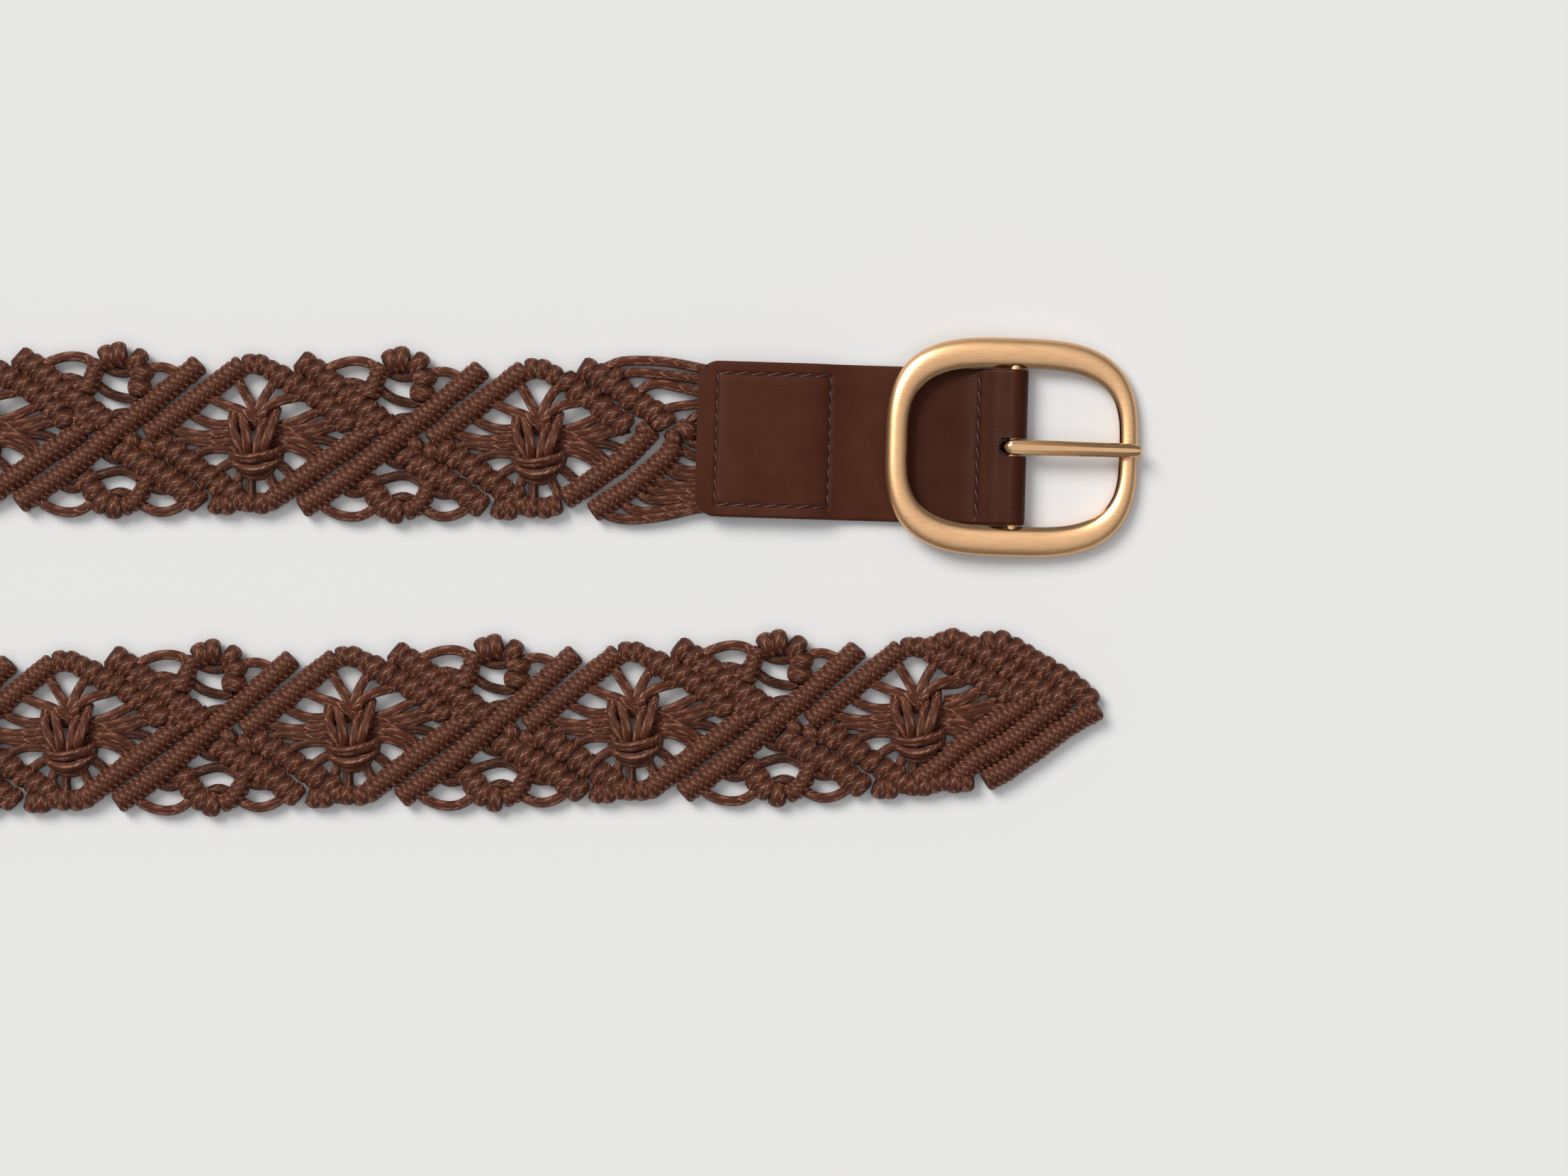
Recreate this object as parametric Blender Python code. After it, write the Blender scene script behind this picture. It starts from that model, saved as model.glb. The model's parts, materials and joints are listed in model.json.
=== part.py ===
"""A knotted cord belt: a pierced band of waxed cotton cord, a leather tab and a centre-bar buckle.

The belt lies on a flat surface with both ends pointing to +X, buckle end at +Y and pointed end at -Y,
and turns round in a wide loop at -X. +Z is up and z = 0 is the surface. Lengths are in metres.
"""
import math
from collections import namedtuple

import bmesh
import bpy
import numpy as np
from mathutils import Matrix, Vector
from mathutils.geometry import delaunay_2d_cdt

MM = 0.001
CLEARANCE = 0.3 * MM

# Band
CELL_LENGTH = 72.7 * MM
BAND_WIDTH = 44.0 * MM
FLOWER_COUNT = 12
MOUTH_TO_FIRST_FLOWER = 40.9 * MM
LAST_FLOWER_TO_TIP = 47.8 * MM
BAR_WIDTH = 5.0 * MM
BAR_THICKNESS = 5.0 * MM
CORD_DIAMETER = 2.3 * MM
FLOWER_THICKNESS = 7.2 * MM
TONGUE_LENGTH = 5.7 * MM

# Route that the band lies in
UPPER_RUN = 188.3 * MM
RUN_GAP = 78.0 * MM
BEND_RADIUS = 70.0 * MM
TAB_TILT = math.radians(1.7)
RUN_TILT = math.radians(0.95)
EASE_LENGTH = 20.0 * MM

# Leather tab
TAB_LENGTH = 80.8 * MM
TAB_WIDTH = 40.0 * MM
TAB_CORNER = 4.3 * MM
LEATHER_WALL = 1.25 * MM
STRAP_THICKNESS = 2.8 * MM
PAD_LENGTH = 34.0 * MM
FOLD_WALL = 1.4 * MM
NOTCH_REACH = 0.5 * MM

# Buckle
BAR_RADIUS = 1.7 * MM
FRAME_LENGTH = 65.1 * MM
FRAME_HEIGHT = 56.2 * MM
WINDOW_LENGTH = 54.5 * MM
WINDOW_HEIGHT = 40.8 * MM
FRAME_THICKNESS = 4.2 * MM
FRAME_SHIFT = -0.4 * MM
BAR_DROP = 0.5 * MM
FRAME_ROUNDNESS = 3.1
WINDOW_ROUNDNESS = 3.4
PRONG_LENGTH = 32.9 * MM
PRONG_WIDTH = 4.0 * MM
PRONG_LOOP_WALL = 1.4 * MM

# Worked out from the sizes above
BAND_LENGTH = MOUTH_TO_FIRST_FLOWER + (FLOWER_COUNT - 1) * CELL_LENGTH + LAST_FLOWER_TO_TIP
BAND_MIDDLE = BAR_THICKNESS / 2
BORE_RADIUS = BAR_RADIUS + CLEARANCE
FOLD_RADIUS = BORE_RADIUS + FOLD_WALL
BAR_HEIGHT = FOLD_RADIUS + 0.2 * MM
SLOT_HEIGHT = CORD_DIAMETER + 2 * CLEARANCE
TONGUE_HALF = TAB_WIDTH / 2 - 2.4 * MM
FRAME_TILT = math.asin((BAR_HEIGHT + BAR_DROP - FRAME_THICKNESS / 2 - 0.2 * MM) / (FRAME_LENGTH * 0.47))

# Rows of the pattern. "along" and "across" are hundredths of CELL_LENGTH and BAND_WIDTH, measured from the
# middle of the cell where the two long rows of knots cross. The flower knots stand at along = -50 and 50.
Row = namedtuple("Row", "kind points")
CROSSING_ROWS = (
    Row("bar", ((-32.7, -40.7), (0.0, 0.0), (32.7, 40.7))),
    Row("bar", ((-43.2, -37.3), (-12.6, 0.8))),
    Row("bar", ((12.6, -0.8), (43.2, 37.3))),
    Row("bar", ((-32.7, 38.2), (-3.8, 9.1))),
    Row("bar", ((3.8, -9.1), (32.7, -38.2))),
    Row("bar", ((-43.2, 33.2), (-17.3, 7.9))),
    Row("bar", ((17.3, -7.9), (43.2, -33.2))),
    Row("bar", ((-13.1, 27.8), (-7.0, 38.2), (-1.0, 46.9), (6.3, 45.2))),
    Row("bar", ((9.5, 27.8), (7.8, 42.7))),
    Row("bar", ((-10.3, -29.0), (-6.0, -42.7), (3.5, -46.5))),
    Row("bar", ((8.8, -28.2), (5.3, -41.5))),
    Row("cord", ((-27.4, 41.1), (-18.1, 46.5), (-9.0, 44.0))),
    Row("cord", ((9.8, 42.3), (17.3, 43.2), (24.4, 39.0))),
    Row("cord", ((-26.6, -44.0), (-18.1, -50.6), (-10.3, -46.5))),
    Row("cord", ((7.0, -45.2), (16.1, -43.6), (22.1, -40.2))),
    Row("valley", ((-35.2, -35.6), (-10.0, -4.2))),
    Row("valley", ((10.0, 4.2), (35.2, 35.6))),
    Row("valley", ((-36.4, 34.4), (-12.6, 10.0))),
    Row("valley", ((12.6, -10.0), (36.4, -34.4))),
)
CROSSING_GAPS = (
    ((-3.5, 27.4), (2.0, 23.7), (6.5, 27.4), (5.5, 34.9), (2.0, 38.2), (-1.5, 36.5)),
    ((-6.5, -29.9), (-0.5, -26.6), (6.0, -29.0), (3.8, -39.0), (-0.3, -41.5), (-3.5, -39.8)),
    ((-23.6, 38.2), (-18.1, 43.2), (-12.6, 42.3), (-9.5, 40.2), (-15.1, 32.0), (-18.1, 32.4)),
    ((12.6, 25.7), (11.8, 37.3), (15.6, 39.8), (19.1, 39.0), (21.6, 35.7), (17.1, 30.3)),
    ((-23.6, -38.6), (-19.1, -46.5), (-14.1, -45.6), (-10.6, -42.3), (-13.3, -30.7), (-15.6, -28.2)),
    ((9.8, -40.2), (15.1, -40.2), (20.1, -37.3), (16.6, -30.3), (12.8, -27.0)),
)
CROSSING_OUTLINE = (
    (-40.2, 44.0), (-32.7, 44.4), (-26.4, 43.2), (-18.1, 49.4), (-9.0, 46.9), (-2.0, 52.7),
    (6.0, 51.0), (10.6, 45.6), (17.6, 46.1), (24.6, 42.3), (32.7, 46.5), (40.2, 44.4),
    (-40.2, -44.8), (-32.7, -46.9), (-26.6, -47.3), (-18.1, -53.5), (-10.6, -49.8), (-4.0, -53.5),
    (3.5, -52.3), (8.5, -48.1), (16.1, -46.5), (22.6, -43.6), (32.7, -44.0), (40.2, -43.6),
)
# Rows, gaps and edge of a flower knot, measured from its own middle.
FLOWER_ROWS = (
    Row("knot", ((-5.5, 13.7), (-2.3, -8.7))),
    Row("knot", ((4.3, 14.1), (2.5, -8.7))),
    Row("knot", ((-6.8, -11.8), (0.0, -16.6), (6.8, -11.8))),
    Row("cord", ((-17.8, 17.0), (-7.5, 5.0))),
    Row("cord", ((-24.1, -2.1), (-6.8, -1.2))),
    Row("cord", ((-23.9, -12.4), (-6.8, -8.3))),
    Row("cord", ((19.8, 17.0), (7.0, 6.2))),
    Row("cord", ((25.4, 4.1), (7.0, 0.0))),
    Row("cord", ((-10.1, 28.2), (-4.5, 14.6))),
    Row("cord", ((9.0, 25.7), (4.5, 15.8))),
    Row("cord", ((-3.0, -22.8), (-7.5, -32.4))),
    Row("cord", ((2.0, -22.8), (4.0, -31.5))),
    Row("bar", ((4.0, 34.4), (-6.3, 38.2))),
    Row("bar", ((4.0, -40.3), (-6.0, -37.3))),
)
FLOWER_GAPS = (
    ((-9.0, 11.2), (-11.6, 22.4), (-15.6, 19.7), (-15.1, 16.6)),
    ((8.5, 12.4), (10.1, 22.4), (16.1, 17.6)),
    ((-11.1, 4.1), (-19.6, 12.4), (-24.0, 6.5), (-21.1, 1.7)),
    ((8.5, -10.0), (7.0, -24.1), (14.1, -19.9), (20.6, -11.6)),
)
FLOWER_OUTLINE = ((0.0, 43.4), (0.0, -44.0))
# Rows, gaps and edge between the first flower and the leather. "along" grows towards the leather.
BUCKLE_END_ROWS = (
    Row("bar", ((8.8, 31.1), (31.4, 10.8))),
    Row("bar", ((16.8, 40.2), (46.0, 12.4))),
    Row("bar", ((10.1, -33.6), (39.2, 8.7))),
    Row("bar", ((24.6, -33.6), (50.3, 5.0))),
    Row("cord", ((24.4, 44.2), (41.5, 46.0), (54.0, 41.5))),
    Row("cord", ((33.9, -44.0), (45.2, -44.3), (54.0, -41.5))),
    Row("valley", ((13.5, 36.0), (39.0, 12.5))),
    Row("valley", ((18.0, -33.0), (45.0, 7.0))),
)
BUCKLE_END_GAPS = (
    ((29.6, 38.2), (37.7, 42.2), (48.6, 39.9), (52.4, 36.5), (44.2, 34.9), (35.2, 34.0)),
    ((37.7, 29.0), (50.0, 31.5), (52.4, 27.4), (45.2, 24.1)),
    ((34.7, -23.2), (37.7, -24.9), (52.3, -20.7), (51.3, -10.0), (46.7, -5.8)),
    ((29.1, -34.4), (35.2, -39.2), (50.3, -35.0), (51.8, -28.6), (37.7, -31.7)),
)
BUCKLE_END_OUTLINE = (
    (9.0, 44.0), (16.6, 45.6), (24.4, 46.5), (30.7, 48.0), (41.5, 48.5), (50.3, 44.0),
    (9.0, -43.2), (20.1, -42.3), (24.6, -44.0), (33.9, -46.5), (45.2, -46.9), (50.3, -44.0),
)
# Rows and edge between the last flower and the point. "along" grows towards the point.
TIP_ROWS = (
    Row("bar", ((27.1, 42.7), (57.5, 11.2), (63.1, 2.5))),
    Row("bar", ((21.6, 36.5), (45.0, 9.1))),
    Row("bar", ((16.1, 27.8), (31.7, 9.5))),
    Row("bar", ((37.9, 5.8), (14.6, -18.7))),
    Row("bar", ((51.0, 5.8), (18.1, -30.7))),
    Row("bar", ((59.5, -0.4), (26.9, -36.1))),
    Row("valley", ((25.5, 37.5), (50.0, 11.5))),
    Row("valley", ((19.5, 30.5), (37.0, 10.5))),
    Row("valley", ((43.5, 4.5), (17.0, -24.0))),
    Row("valley", ((55.0, 1.5), (23.0, -34.0))),
)
TIP_OUTLINE = (
    (9.0, 44.0), (16.6, 43.6), (21.1, 43.2), (28.1, 47.5), (43.2, 33.2), (59.3, 16.2), (65.7, 3.5),
    (61.8, -5.8), (44.2, -24.9), (28.6, -41.9), (22.6, -41.5), (15.1, -43.0), (9.0, -44.0),
)
ROW_SIZES = {
    "bar": (BAR_WIDTH / 2, BAR_THICKNESS / 2),
    "cord": (CORD_DIAMETER * 0.6, CORD_DIAMETER / 2),
    "knot": (BAR_WIDTH * 0.62, FLOWER_THICKNESS - BAR_THICKNESS / 2),
}
VALLEY_RISE = BAR_THICKNESS * 0.22
EDGE_SHARE = 0.5
LONGEST_STEP = CELL_LENGTH / 6
MERGE_WITHIN = 0.7 * MM


def material(name, colour, roughness, metallic=0.0):
    made = bpy.data.materials.new(name)
    made.use_nodes = True
    shader = made.node_tree.nodes["Principled BSDF"]
    shader.inputs["Base Color"].default_value = (*colour, 1)
    shader.inputs["Roughness"].default_value = roughness
    shader.inputs["Metallic"].default_value = metallic
    made.diffuse_color = (*colour, 1)
    return made


def add_object(name, mesh, made_of, parent=None):
    thing = bpy.data.objects.new(name, mesh)
    bpy.context.scene.collection.objects.link(thing)
    mesh.materials.append(made_of)
    thing.parent = parent
    return thing


def mesh_from_bmesh(name, work):
    bmesh.ops.recalc_face_normals(work, faces=work.faces)
    mesh = bpy.data.meshes.new(name)
    work.to_mesh(mesh)
    work.free()
    return mesh


def shade_round(mesh, degrees=40):
    mesh.shade_smooth()
    mesh.set_sharp_from_angle(angle=math.radians(degrees))


# Route


def route_pieces():
    """Stretches of the route from the leather's mouth to the tip, as (length, turn), with a left turn positive."""
    flare = math.acos((math.cos(RUN_TILT) + RUN_GAP / 2 / BEND_RADIUS) / 2)
    flare_turn = flare - RUN_TILT
    round_turn = math.pi + 2 * flare
    bend = (
        (BEND_RADIUS * flare_turn, -flare_turn),
        (BEND_RADIUS * round_turn, round_turn),
        (BEND_RADIUS * flare_turn, -flare_turn),
    )
    start = ((EASE_LENGTH, TAB_TILT - RUN_TILT), (UPPER_RUN - EASE_LENGTH, 0.0))
    used = UPPER_RUN + sum(length for length, _ in bend)
    return start + bend + ((BAND_LENGTH - used, 0.0),)


def place_on_route(distance, side):
    """The point at this distance from the mouth and this far to the right of the route."""
    point = Vector((-TAB_LENGTH * math.cos(TAB_TILT), TAB_LENGTH * math.sin(TAB_TILT)))
    heading = math.pi - TAB_TILT
    left = distance
    for length, turn in route_pieces():
        part = min(left, length)
        angle = turn * part / length
        half = angle / 2
        chord = part if abs(half) < 1e-9 else part * math.sin(half) / half
        point += chord * Vector((math.cos(heading + half), math.sin(heading + half)))
        heading += angle
        left -= part
        if left <= 0:
            break
    point += left * Vector((math.cos(heading), math.sin(heading)))
    return point + side * Vector((math.sin(heading), -math.cos(heading)))


# Pattern laid out flat


def laid_out(points, centre, turned):
    """Table points as (distance from the mouth, side); turned is -1 where the pattern is turned half round."""
    return [
        (centre - turned * along * CELL_LENGTH / 100, turned * across * BAND_WIDTH / 100)
        for along, across in points
    ]


def flat_pattern():
    """Every row, gap and edge point of the band. The pattern turns half round in the middle of the belt."""
    rows, gaps, edge = [], [], []

    def add(row_table, gap_table, edge_table, centre, turned):
        rows.extend((row.kind, laid_out(row.points, centre, turned)) for row in row_table)
        gaps.extend(laid_out(gap, centre, turned) for gap in gap_table)
        edge.extend(laid_out(edge_table, centre, turned))

    flowers = [MOUTH_TO_FIRST_FLOWER + k * CELL_LENGTH for k in range(FLOWER_COUNT)]
    for k, flower in enumerate(flowers):
        turned = 1 if k < FLOWER_COUNT // 2 else -1
        add(FLOWER_ROWS, FLOWER_GAPS, FLOWER_OUTLINE, flower, turned)
        if k + 1 < FLOWER_COUNT:
            add(CROSSING_ROWS, CROSSING_GAPS, CROSSING_OUTLINE, flower + CELL_LENGTH / 2, turned)
    add(BUCKLE_END_ROWS, BUCKLE_END_GAPS, BUCKLE_END_OUTLINE, flowers[0], 1)
    add(TIP_ROWS, (), TIP_OUTLINE, flowers[-1], -1)
    corner = BAND_WIDTH * 0.01
    edge.extend((distance, side * TONGUE_HALF) for distance in (corner, -TONGUE_LENGTH) for side in (-1, 1))
    for distance in (corner / 2, -TONGUE_LENGTH / 2):
        rows.append(("cord", [(distance, -TONGUE_HALF * 0.93), (distance, TONGUE_HALF * 0.93)]))
    right = sorted(point for point in edge if point[1] > 0)
    left = sorted((point for point in edge if point[1] <= 0), reverse=True)
    return rows, gaps, right + left


def split_line(points):
    """The same line with no step longer than LONGEST_STEP."""
    line = [points[0]]
    for start, end in zip(points, points[1:]):
        count = max(1, math.ceil(math.dist(start, end) / LONGEST_STEP))
        line += [
            tuple(a + (b - a) * k / count for a, b in zip(start, end)) for k in range(1, count + 1)
        ]
    return line


def inside(point, loop):
    found = False
    for (x0, y0), (x1, y1) in zip(loop, loop[1:] + loop[:1]):
        if (y0 > point[1]) != (y1 > point[1]):
            if point[0] < x0 + (point[1] - y0) / (y1 - y0) * (x1 - x0):
                found = not found
    return found


def rise_at(points, rows):
    """How far the band's surface stands from its middle plane at each point, from the rows that pass there."""
    rise = np.full(len(points), CORD_DIAMETER / 2 * EDGE_SHARE)
    for kind, line in sorted(rows, key=lambda row: row[0] == "valley"):
        for start, end in zip(line, line[1:]):
            start = np.array(start)
            step = np.array(end) - start
            share = np.clip((points - start) @ step / (step @ step), 0, 1)
            away = np.linalg.norm(points - start - share[:, None] * step, axis=1)
            if kind == "valley":
                rise = np.where(away < MERGE_WITHIN / 2, VALLEY_RISE, rise)
                continue
            half_width, half_height = ROW_SIZES[kind]
            across = away / half_width
            found = half_height * (1 - (1 - EDGE_SHARE) * np.minimum(across, 1) ** 2)
            rise = np.where(across < 1.25, np.maximum(rise, found), rise)
    return rise


def triangulated(rows, gaps, edge):
    """Flat points and triangles of the band, with its gaps left open and an edge along each row's ridge."""
    points, lines = [], []

    def number_of(point, merge):
        if merge:
            for index, old in enumerate(points):
                if abs(old[0] - point[0]) < MERGE_WITHIN and math.dist(old, point) < MERGE_WITHIN:
                    return index
        points.append(point)
        return len(points) - 1

    for loop in [edge, *gaps]:
        numbers = [number_of(point, False) for point in loop]
        lines += zip(numbers, numbers[1:] + numbers[:1])
    for _, line in rows:
        numbers = [number_of(point, True) for point in split_line(line)]
        lines += [(a, b) for a, b in zip(numbers, numbers[1:]) if a != b]
    scaled = [Vector((x / MM, y / MM)) for x, y in points]
    flat, _, faces, *_ = delaunay_2d_cdt(scaled, lines, [], 0, 1e-5)
    flat = [(point.x * MM, point.y * MM) for point in flat]
    kept = []
    for face in faces:
        middle = tuple(sum(flat[corner][axis] for corner in face) / 3 for axis in (0, 1))
        near = [gap for gap in gaps if abs(gap[0][0] - middle[0]) < CELL_LENGTH / 2]
        if inside(middle, edge) and not any(inside(middle, gap) for gap in near):
            kept.append(tuple(face))
    return flat, kept


def band_mesh():
    """The band as one solid: the flat pattern given thickness, and bent round the route."""
    rows, gaps, edge = flat_pattern()
    flat, faces = triangulated(rows, gaps, edge)
    used = sorted({corner for face in faces for corner in face})
    rise = rise_at(np.array([flat[corner] for corner in used]), rows)
    work = bmesh.new()
    above, below = {}, {}
    for corner, height in zip(used, rise):
        place = place_on_route(*flat[corner])
        above[corner] = work.verts.new((*place, BAND_MIDDLE + height))
        below[corner] = work.verts.new((*place, BAND_MIDDLE - min(height, BAR_THICKNESS / 2)))
    sides = {}
    for face in faces:
        work.faces.new([above[corner] for corner in face])
        work.faces.new([below[corner] for corner in reversed(face)])
        for a, b in zip(face, face[1:] + face[:1]):
            if (b, a) in sides:
                del sides[(b, a)]
            else:
                sides[(a, b)] = True
    for a, b in sides:
        work.faces.new((above[b], above[a], below[a]))
        work.faces.new((above[b], below[a], below[b]))
    return mesh_from_bmesh("knotted_band", work)


# Leather tab


def extruded(outline, half_width):
    """An (x, z) outline extruded along Y, from -half_width to half_width."""
    work = bmesh.new()
    face = work.faces.new([work.verts.new((x, -half_width, z)) for x, z in outline])
    pushed = bmesh.ops.extrude_face_region(work, geom=[face])["geom"]
    moved = [item for item in pushed if isinstance(item, bmesh.types.BMVert)]
    bmesh.ops.translate(work, verts=moved, vec=(0, 2 * half_width, 0))
    return work


def cutter(name, mesh, target):
    """Cuts the mesh from the target, and keeps it as a hidden guide that moves with the target."""
    tool = bpy.data.objects.new(name, mesh)
    bpy.context.scene.collection.objects.link(tool)
    tool.parent = target
    tool.hide_render = True
    tool.display_type = "WIRE"
    cut = target.modifiers.new(name, "BOOLEAN")
    cut.operation = "DIFFERENCE"
    cut.solver = "EXACT"
    cut.object = tool


def box_mesh(name, low, high):
    work = bmesh.new()
    bmesh.ops.create_cube(work, size=1)
    size = Vector(high) - Vector(low)
    middle = (Vector(high) + Vector(low)) / 2
    bmesh.ops.transform(work, matrix=Matrix.Translation(middle) @ Matrix.Diagonal((*size, 1)), verts=work.verts)
    return mesh_from_bmesh(name, work)


def rod_mesh(name, radius, half_length, sides):
    """A round rod along Y."""
    work = bmesh.new()
    bmesh.ops.create_cone(
        work, cap_ends=True, segments=sides, radius1=radius, radius2=radius, depth=2 * half_length,
        matrix=Matrix.Rotation(math.pi / 2, 4, "X"),
    )
    return mesh_from_bmesh(name, work)


def make_tab(parent, leather):
    """The leather tab: a strap folded round the buckle's bar, its far end padded over the ends of the cords.

    Its own frame has the bar's axis along Y through (0, 0, BAR_HEIGHT).
    """
    slot_floor = BAND_MIDDLE - SLOT_HEIGHT / 2
    end_thickness = slot_floor + SLOT_HEIGHT + LEATHER_WALL
    fold_start, fold_end, fold_steps = math.radians(-105), math.radians(118), 12
    outline = [(-TAB_LENGTH, 0), (-FOLD_RADIUS * 1.8, 0)]
    for k in range(fold_steps + 1):
        angle = fold_start + (fold_end - fold_start) * k / fold_steps
        outline.append((FOLD_RADIUS * math.cos(angle), BAR_HEIGHT + FOLD_RADIUS * math.sin(angle)))
    outline += [
        (-FOLD_RADIUS * 2.1, STRAP_THICKNESS + FOLD_WALL),
        (-FOLD_RADIUS * 3.6, STRAP_THICKNESS),
        (-TAB_LENGTH + PAD_LENGTH, STRAP_THICKNESS),
        (-TAB_LENGTH + PAD_LENGTH - LEATHER_WALL, STRAP_THICKNESS + LEATHER_WALL),
        (-TAB_LENGTH + PAD_LENGTH - TAB_CORNER, end_thickness),
        (-TAB_LENGTH, end_thickness),
    ]
    work = extruded(outline, TAB_WIDTH / 2)
    corners = [
        side for side in work.edges
        if all(abs(corner.co.x + TAB_LENGTH) < MM / 100 for corner in side.verts)
        and abs(side.verts[0].co.y - side.verts[1].co.y) < MM / 100
    ]
    bmesh.ops.bevel(work, geom=corners, offset=TAB_CORNER, segments=5, profile=0.5, affect="EDGES")
    tab = add_object("leather_tab", mesh_from_bmesh("leather_tab", work), leather, parent)
    soften = tab.modifiers.new("worn_edges", "BEVEL")
    soften.width = 0.5 * MM
    soften.segments = 1
    soften.limit_method = "ANGLE"
    soften.angle_limit = math.radians(50)
    past = 2 * MM
    slot_depth = TONGUE_LENGTH + 2 * CLEARANCE
    slot_half = TONGUE_HALF + CLEARANCE
    cutter("cord_slot", box_mesh(
        "cord_slot", (-TAB_LENGTH - past, -slot_half, slot_floor),
        (-TAB_LENGTH + slot_depth, slot_half, slot_floor + SLOT_HEIGHT),
    ), tab)
    notch_half = PRONG_WIDTH / 2 + CLEARANCE
    cutter("prong_notch", box_mesh(
        "prong_notch", (-FOLD_RADIUS - NOTCH_REACH, -notch_half, -past),
        (FOLD_RADIUS + past, notch_half, BAR_HEIGHT + FOLD_RADIUS + past),
    ), tab)
    bore = rod_mesh("bar_bore", BORE_RADIUS, TAB_WIDTH / 2 + past, 20)
    bore.transform(Matrix.Translation((0, 0, BAR_HEIGHT)))
    cutter("bar_bore", bore, tab)
    return tab


# Buckle frame and prong, in a frame with the bar's axis along Y through the origin


def rounded(length, height, roundness, angle):
    """A point of a rounded rectangle, as a superellipse."""
    power = 2 / roundness
    cosine, sine = math.cos(angle), math.sin(angle)
    return Vector((
        length / 2 * math.copysign(abs(cosine) ** power, cosine),
        height / 2 * math.copysign(abs(sine) ** power, sine),
    ))


# Section of the cast frame. "across" runs from the window, 0, to the outer edge, 1; "height" is a share of
# half the thickness.
FRAME_SECTION = (
    (0.00, -0.35), (0.00, 0.30), (0.20, 0.82), (0.50, 1.00),
    (0.82, 0.78), (1.00, 0.05), (0.88, -0.75), (0.50, -1.00), (0.12, -0.85),
)
FRAME_STATIONS = 52


def make_frame(parent, gold):
    work = bmesh.new()
    rings = []
    for k in range(FRAME_STATIONS):
        angle = 2 * math.pi * k / FRAME_STATIONS
        outer = rounded(FRAME_LENGTH, FRAME_HEIGHT, FRAME_ROUNDNESS, angle) + Vector((FRAME_SHIFT, 0))
        inner = rounded(WINDOW_LENGTH, WINDOW_HEIGHT, WINDOW_ROUNDNESS, angle)
        ring = []
        for across, height in FRAME_SECTION:
            place = inner.lerp(outer, across)
            ring.append(work.verts.new((*place, BAR_DROP + height * FRAME_THICKNESS / 2)))
        rings.append(ring)
    for ring, following in zip(rings, rings[1:] + rings[:1]):
        for k, corner in enumerate(ring):
            after = (k + 1) % len(ring)
            work.faces.new((corner, ring[after], following[after], following[k]))
    mesh = mesh_from_bmesh("buckle_frame", work)
    shade_round(mesh, 60)
    frame = add_object("buckle_frame", mesh, gold, parent)
    bar_half = (WINDOW_HEIGHT + FRAME_HEIGHT) / 4
    bar = bpy.data.objects.new("centre_bar", rod_mesh("centre_bar", BAR_RADIUS, bar_half, 12))
    bpy.context.scene.collection.objects.link(bar)
    bar.parent = frame
    bar.hide_render = True
    bar.display_type = "WIRE"
    join = frame.modifiers.new("centre_bar", "BOOLEAN")
    join.operation = "UNION"
    join.solver = "EXACT"
    join.object = bar
    return frame


# Shaft of the prong. "along" is a share of PRONG_LENGTH; "under" and "over" are shares of the loop's outer
# radius, above the bar's axis; "width" is a share of PRONG_WIDTH.
PRONG_SHAFT = (
    (0.10, 0.57, 1.00, 1.00), (0.30, 0.50, 1.00, 0.96), (0.62, 0.42, 0.99, 0.90),
    (0.85, 0.34, 0.95, 0.90), (0.96, 0.34, 0.90, 0.78), (1.00, 0.42, 0.74, 0.45),
)
PRONG_LOOP_START = math.radians(285)
PRONG_LOOP_STEPS = 11


def make_prong(parent, gold):
    """The prong: its loop goes round the bar from below, over the top and on as a straight ridged shaft."""
    outer_radius = BORE_RADIUS + PRONG_LOOP_WALL
    work = bmesh.new()
    rings = []

    def add_ring(inner, outer, width):
        half = width / 2
        rings.append([
            work.verts.new((place.x, side, place.y))
            for place, side in (
                (inner, -half), (inner, half), (inner.lerp(outer, 0.62), half),
                (outer, half * 0.35), (outer, -half * 0.35), (inner.lerp(outer, 0.62), -half),
            )
        ])

    for k in range(PRONG_LOOP_STEPS + 1):
        angle = PRONG_LOOP_START + (math.pi / 2 - PRONG_LOOP_START) * k / PRONG_LOOP_STEPS
        way = Vector((math.cos(angle), math.sin(angle)))
        add_ring(way * BORE_RADIUS, way * outer_radius, PRONG_WIDTH)
    for along, under, over, width in PRONG_SHAFT:
        add_ring(
            Vector((along * PRONG_LENGTH, under * outer_radius)),
            Vector((along * PRONG_LENGTH, over * outer_radius)),
            width * PRONG_WIDTH,
        )
    for ring, following in zip(rings, rings[1:]):
        for k, corner in enumerate(ring):
            after = (k + 1) % len(ring)
            work.faces.new((corner, following[k], following[after], ring[after]))
    work.faces.new(rings[0])
    work.faces.new(list(reversed(rings[-1])))
    mesh = mesh_from_bmesh("prong", work)
    shade_round(mesh)
    return add_object("prong", mesh, gold, parent)


def centre_on_origin(roots):
    """Moves the whole belt so that the middle of its footprint is at the origin, on z = 0."""
    bpy.context.view_layer.update()
    depsgraph = bpy.context.evaluated_depsgraph_get()
    corners = []
    for thing in bpy.data.objects:
        if thing.type == "MESH" and not thing.hide_render:
            shape = thing.evaluated_get(depsgraph)
            corners += [shape.matrix_world @ corner.co for corner in shape.data.vertices]
    low = Vector(min(corner[axis] for corner in corners) for axis in range(3))
    high = Vector(max(corner[axis] for corner in corners) for axis in range(3))
    move = Vector((-(low.x + high.x) / 2, -(low.y + high.y) / 2, -low.z))
    for root in roots:
        root.location += move


for old in list(bpy.data.objects):
    bpy.data.objects.remove(old)

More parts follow.
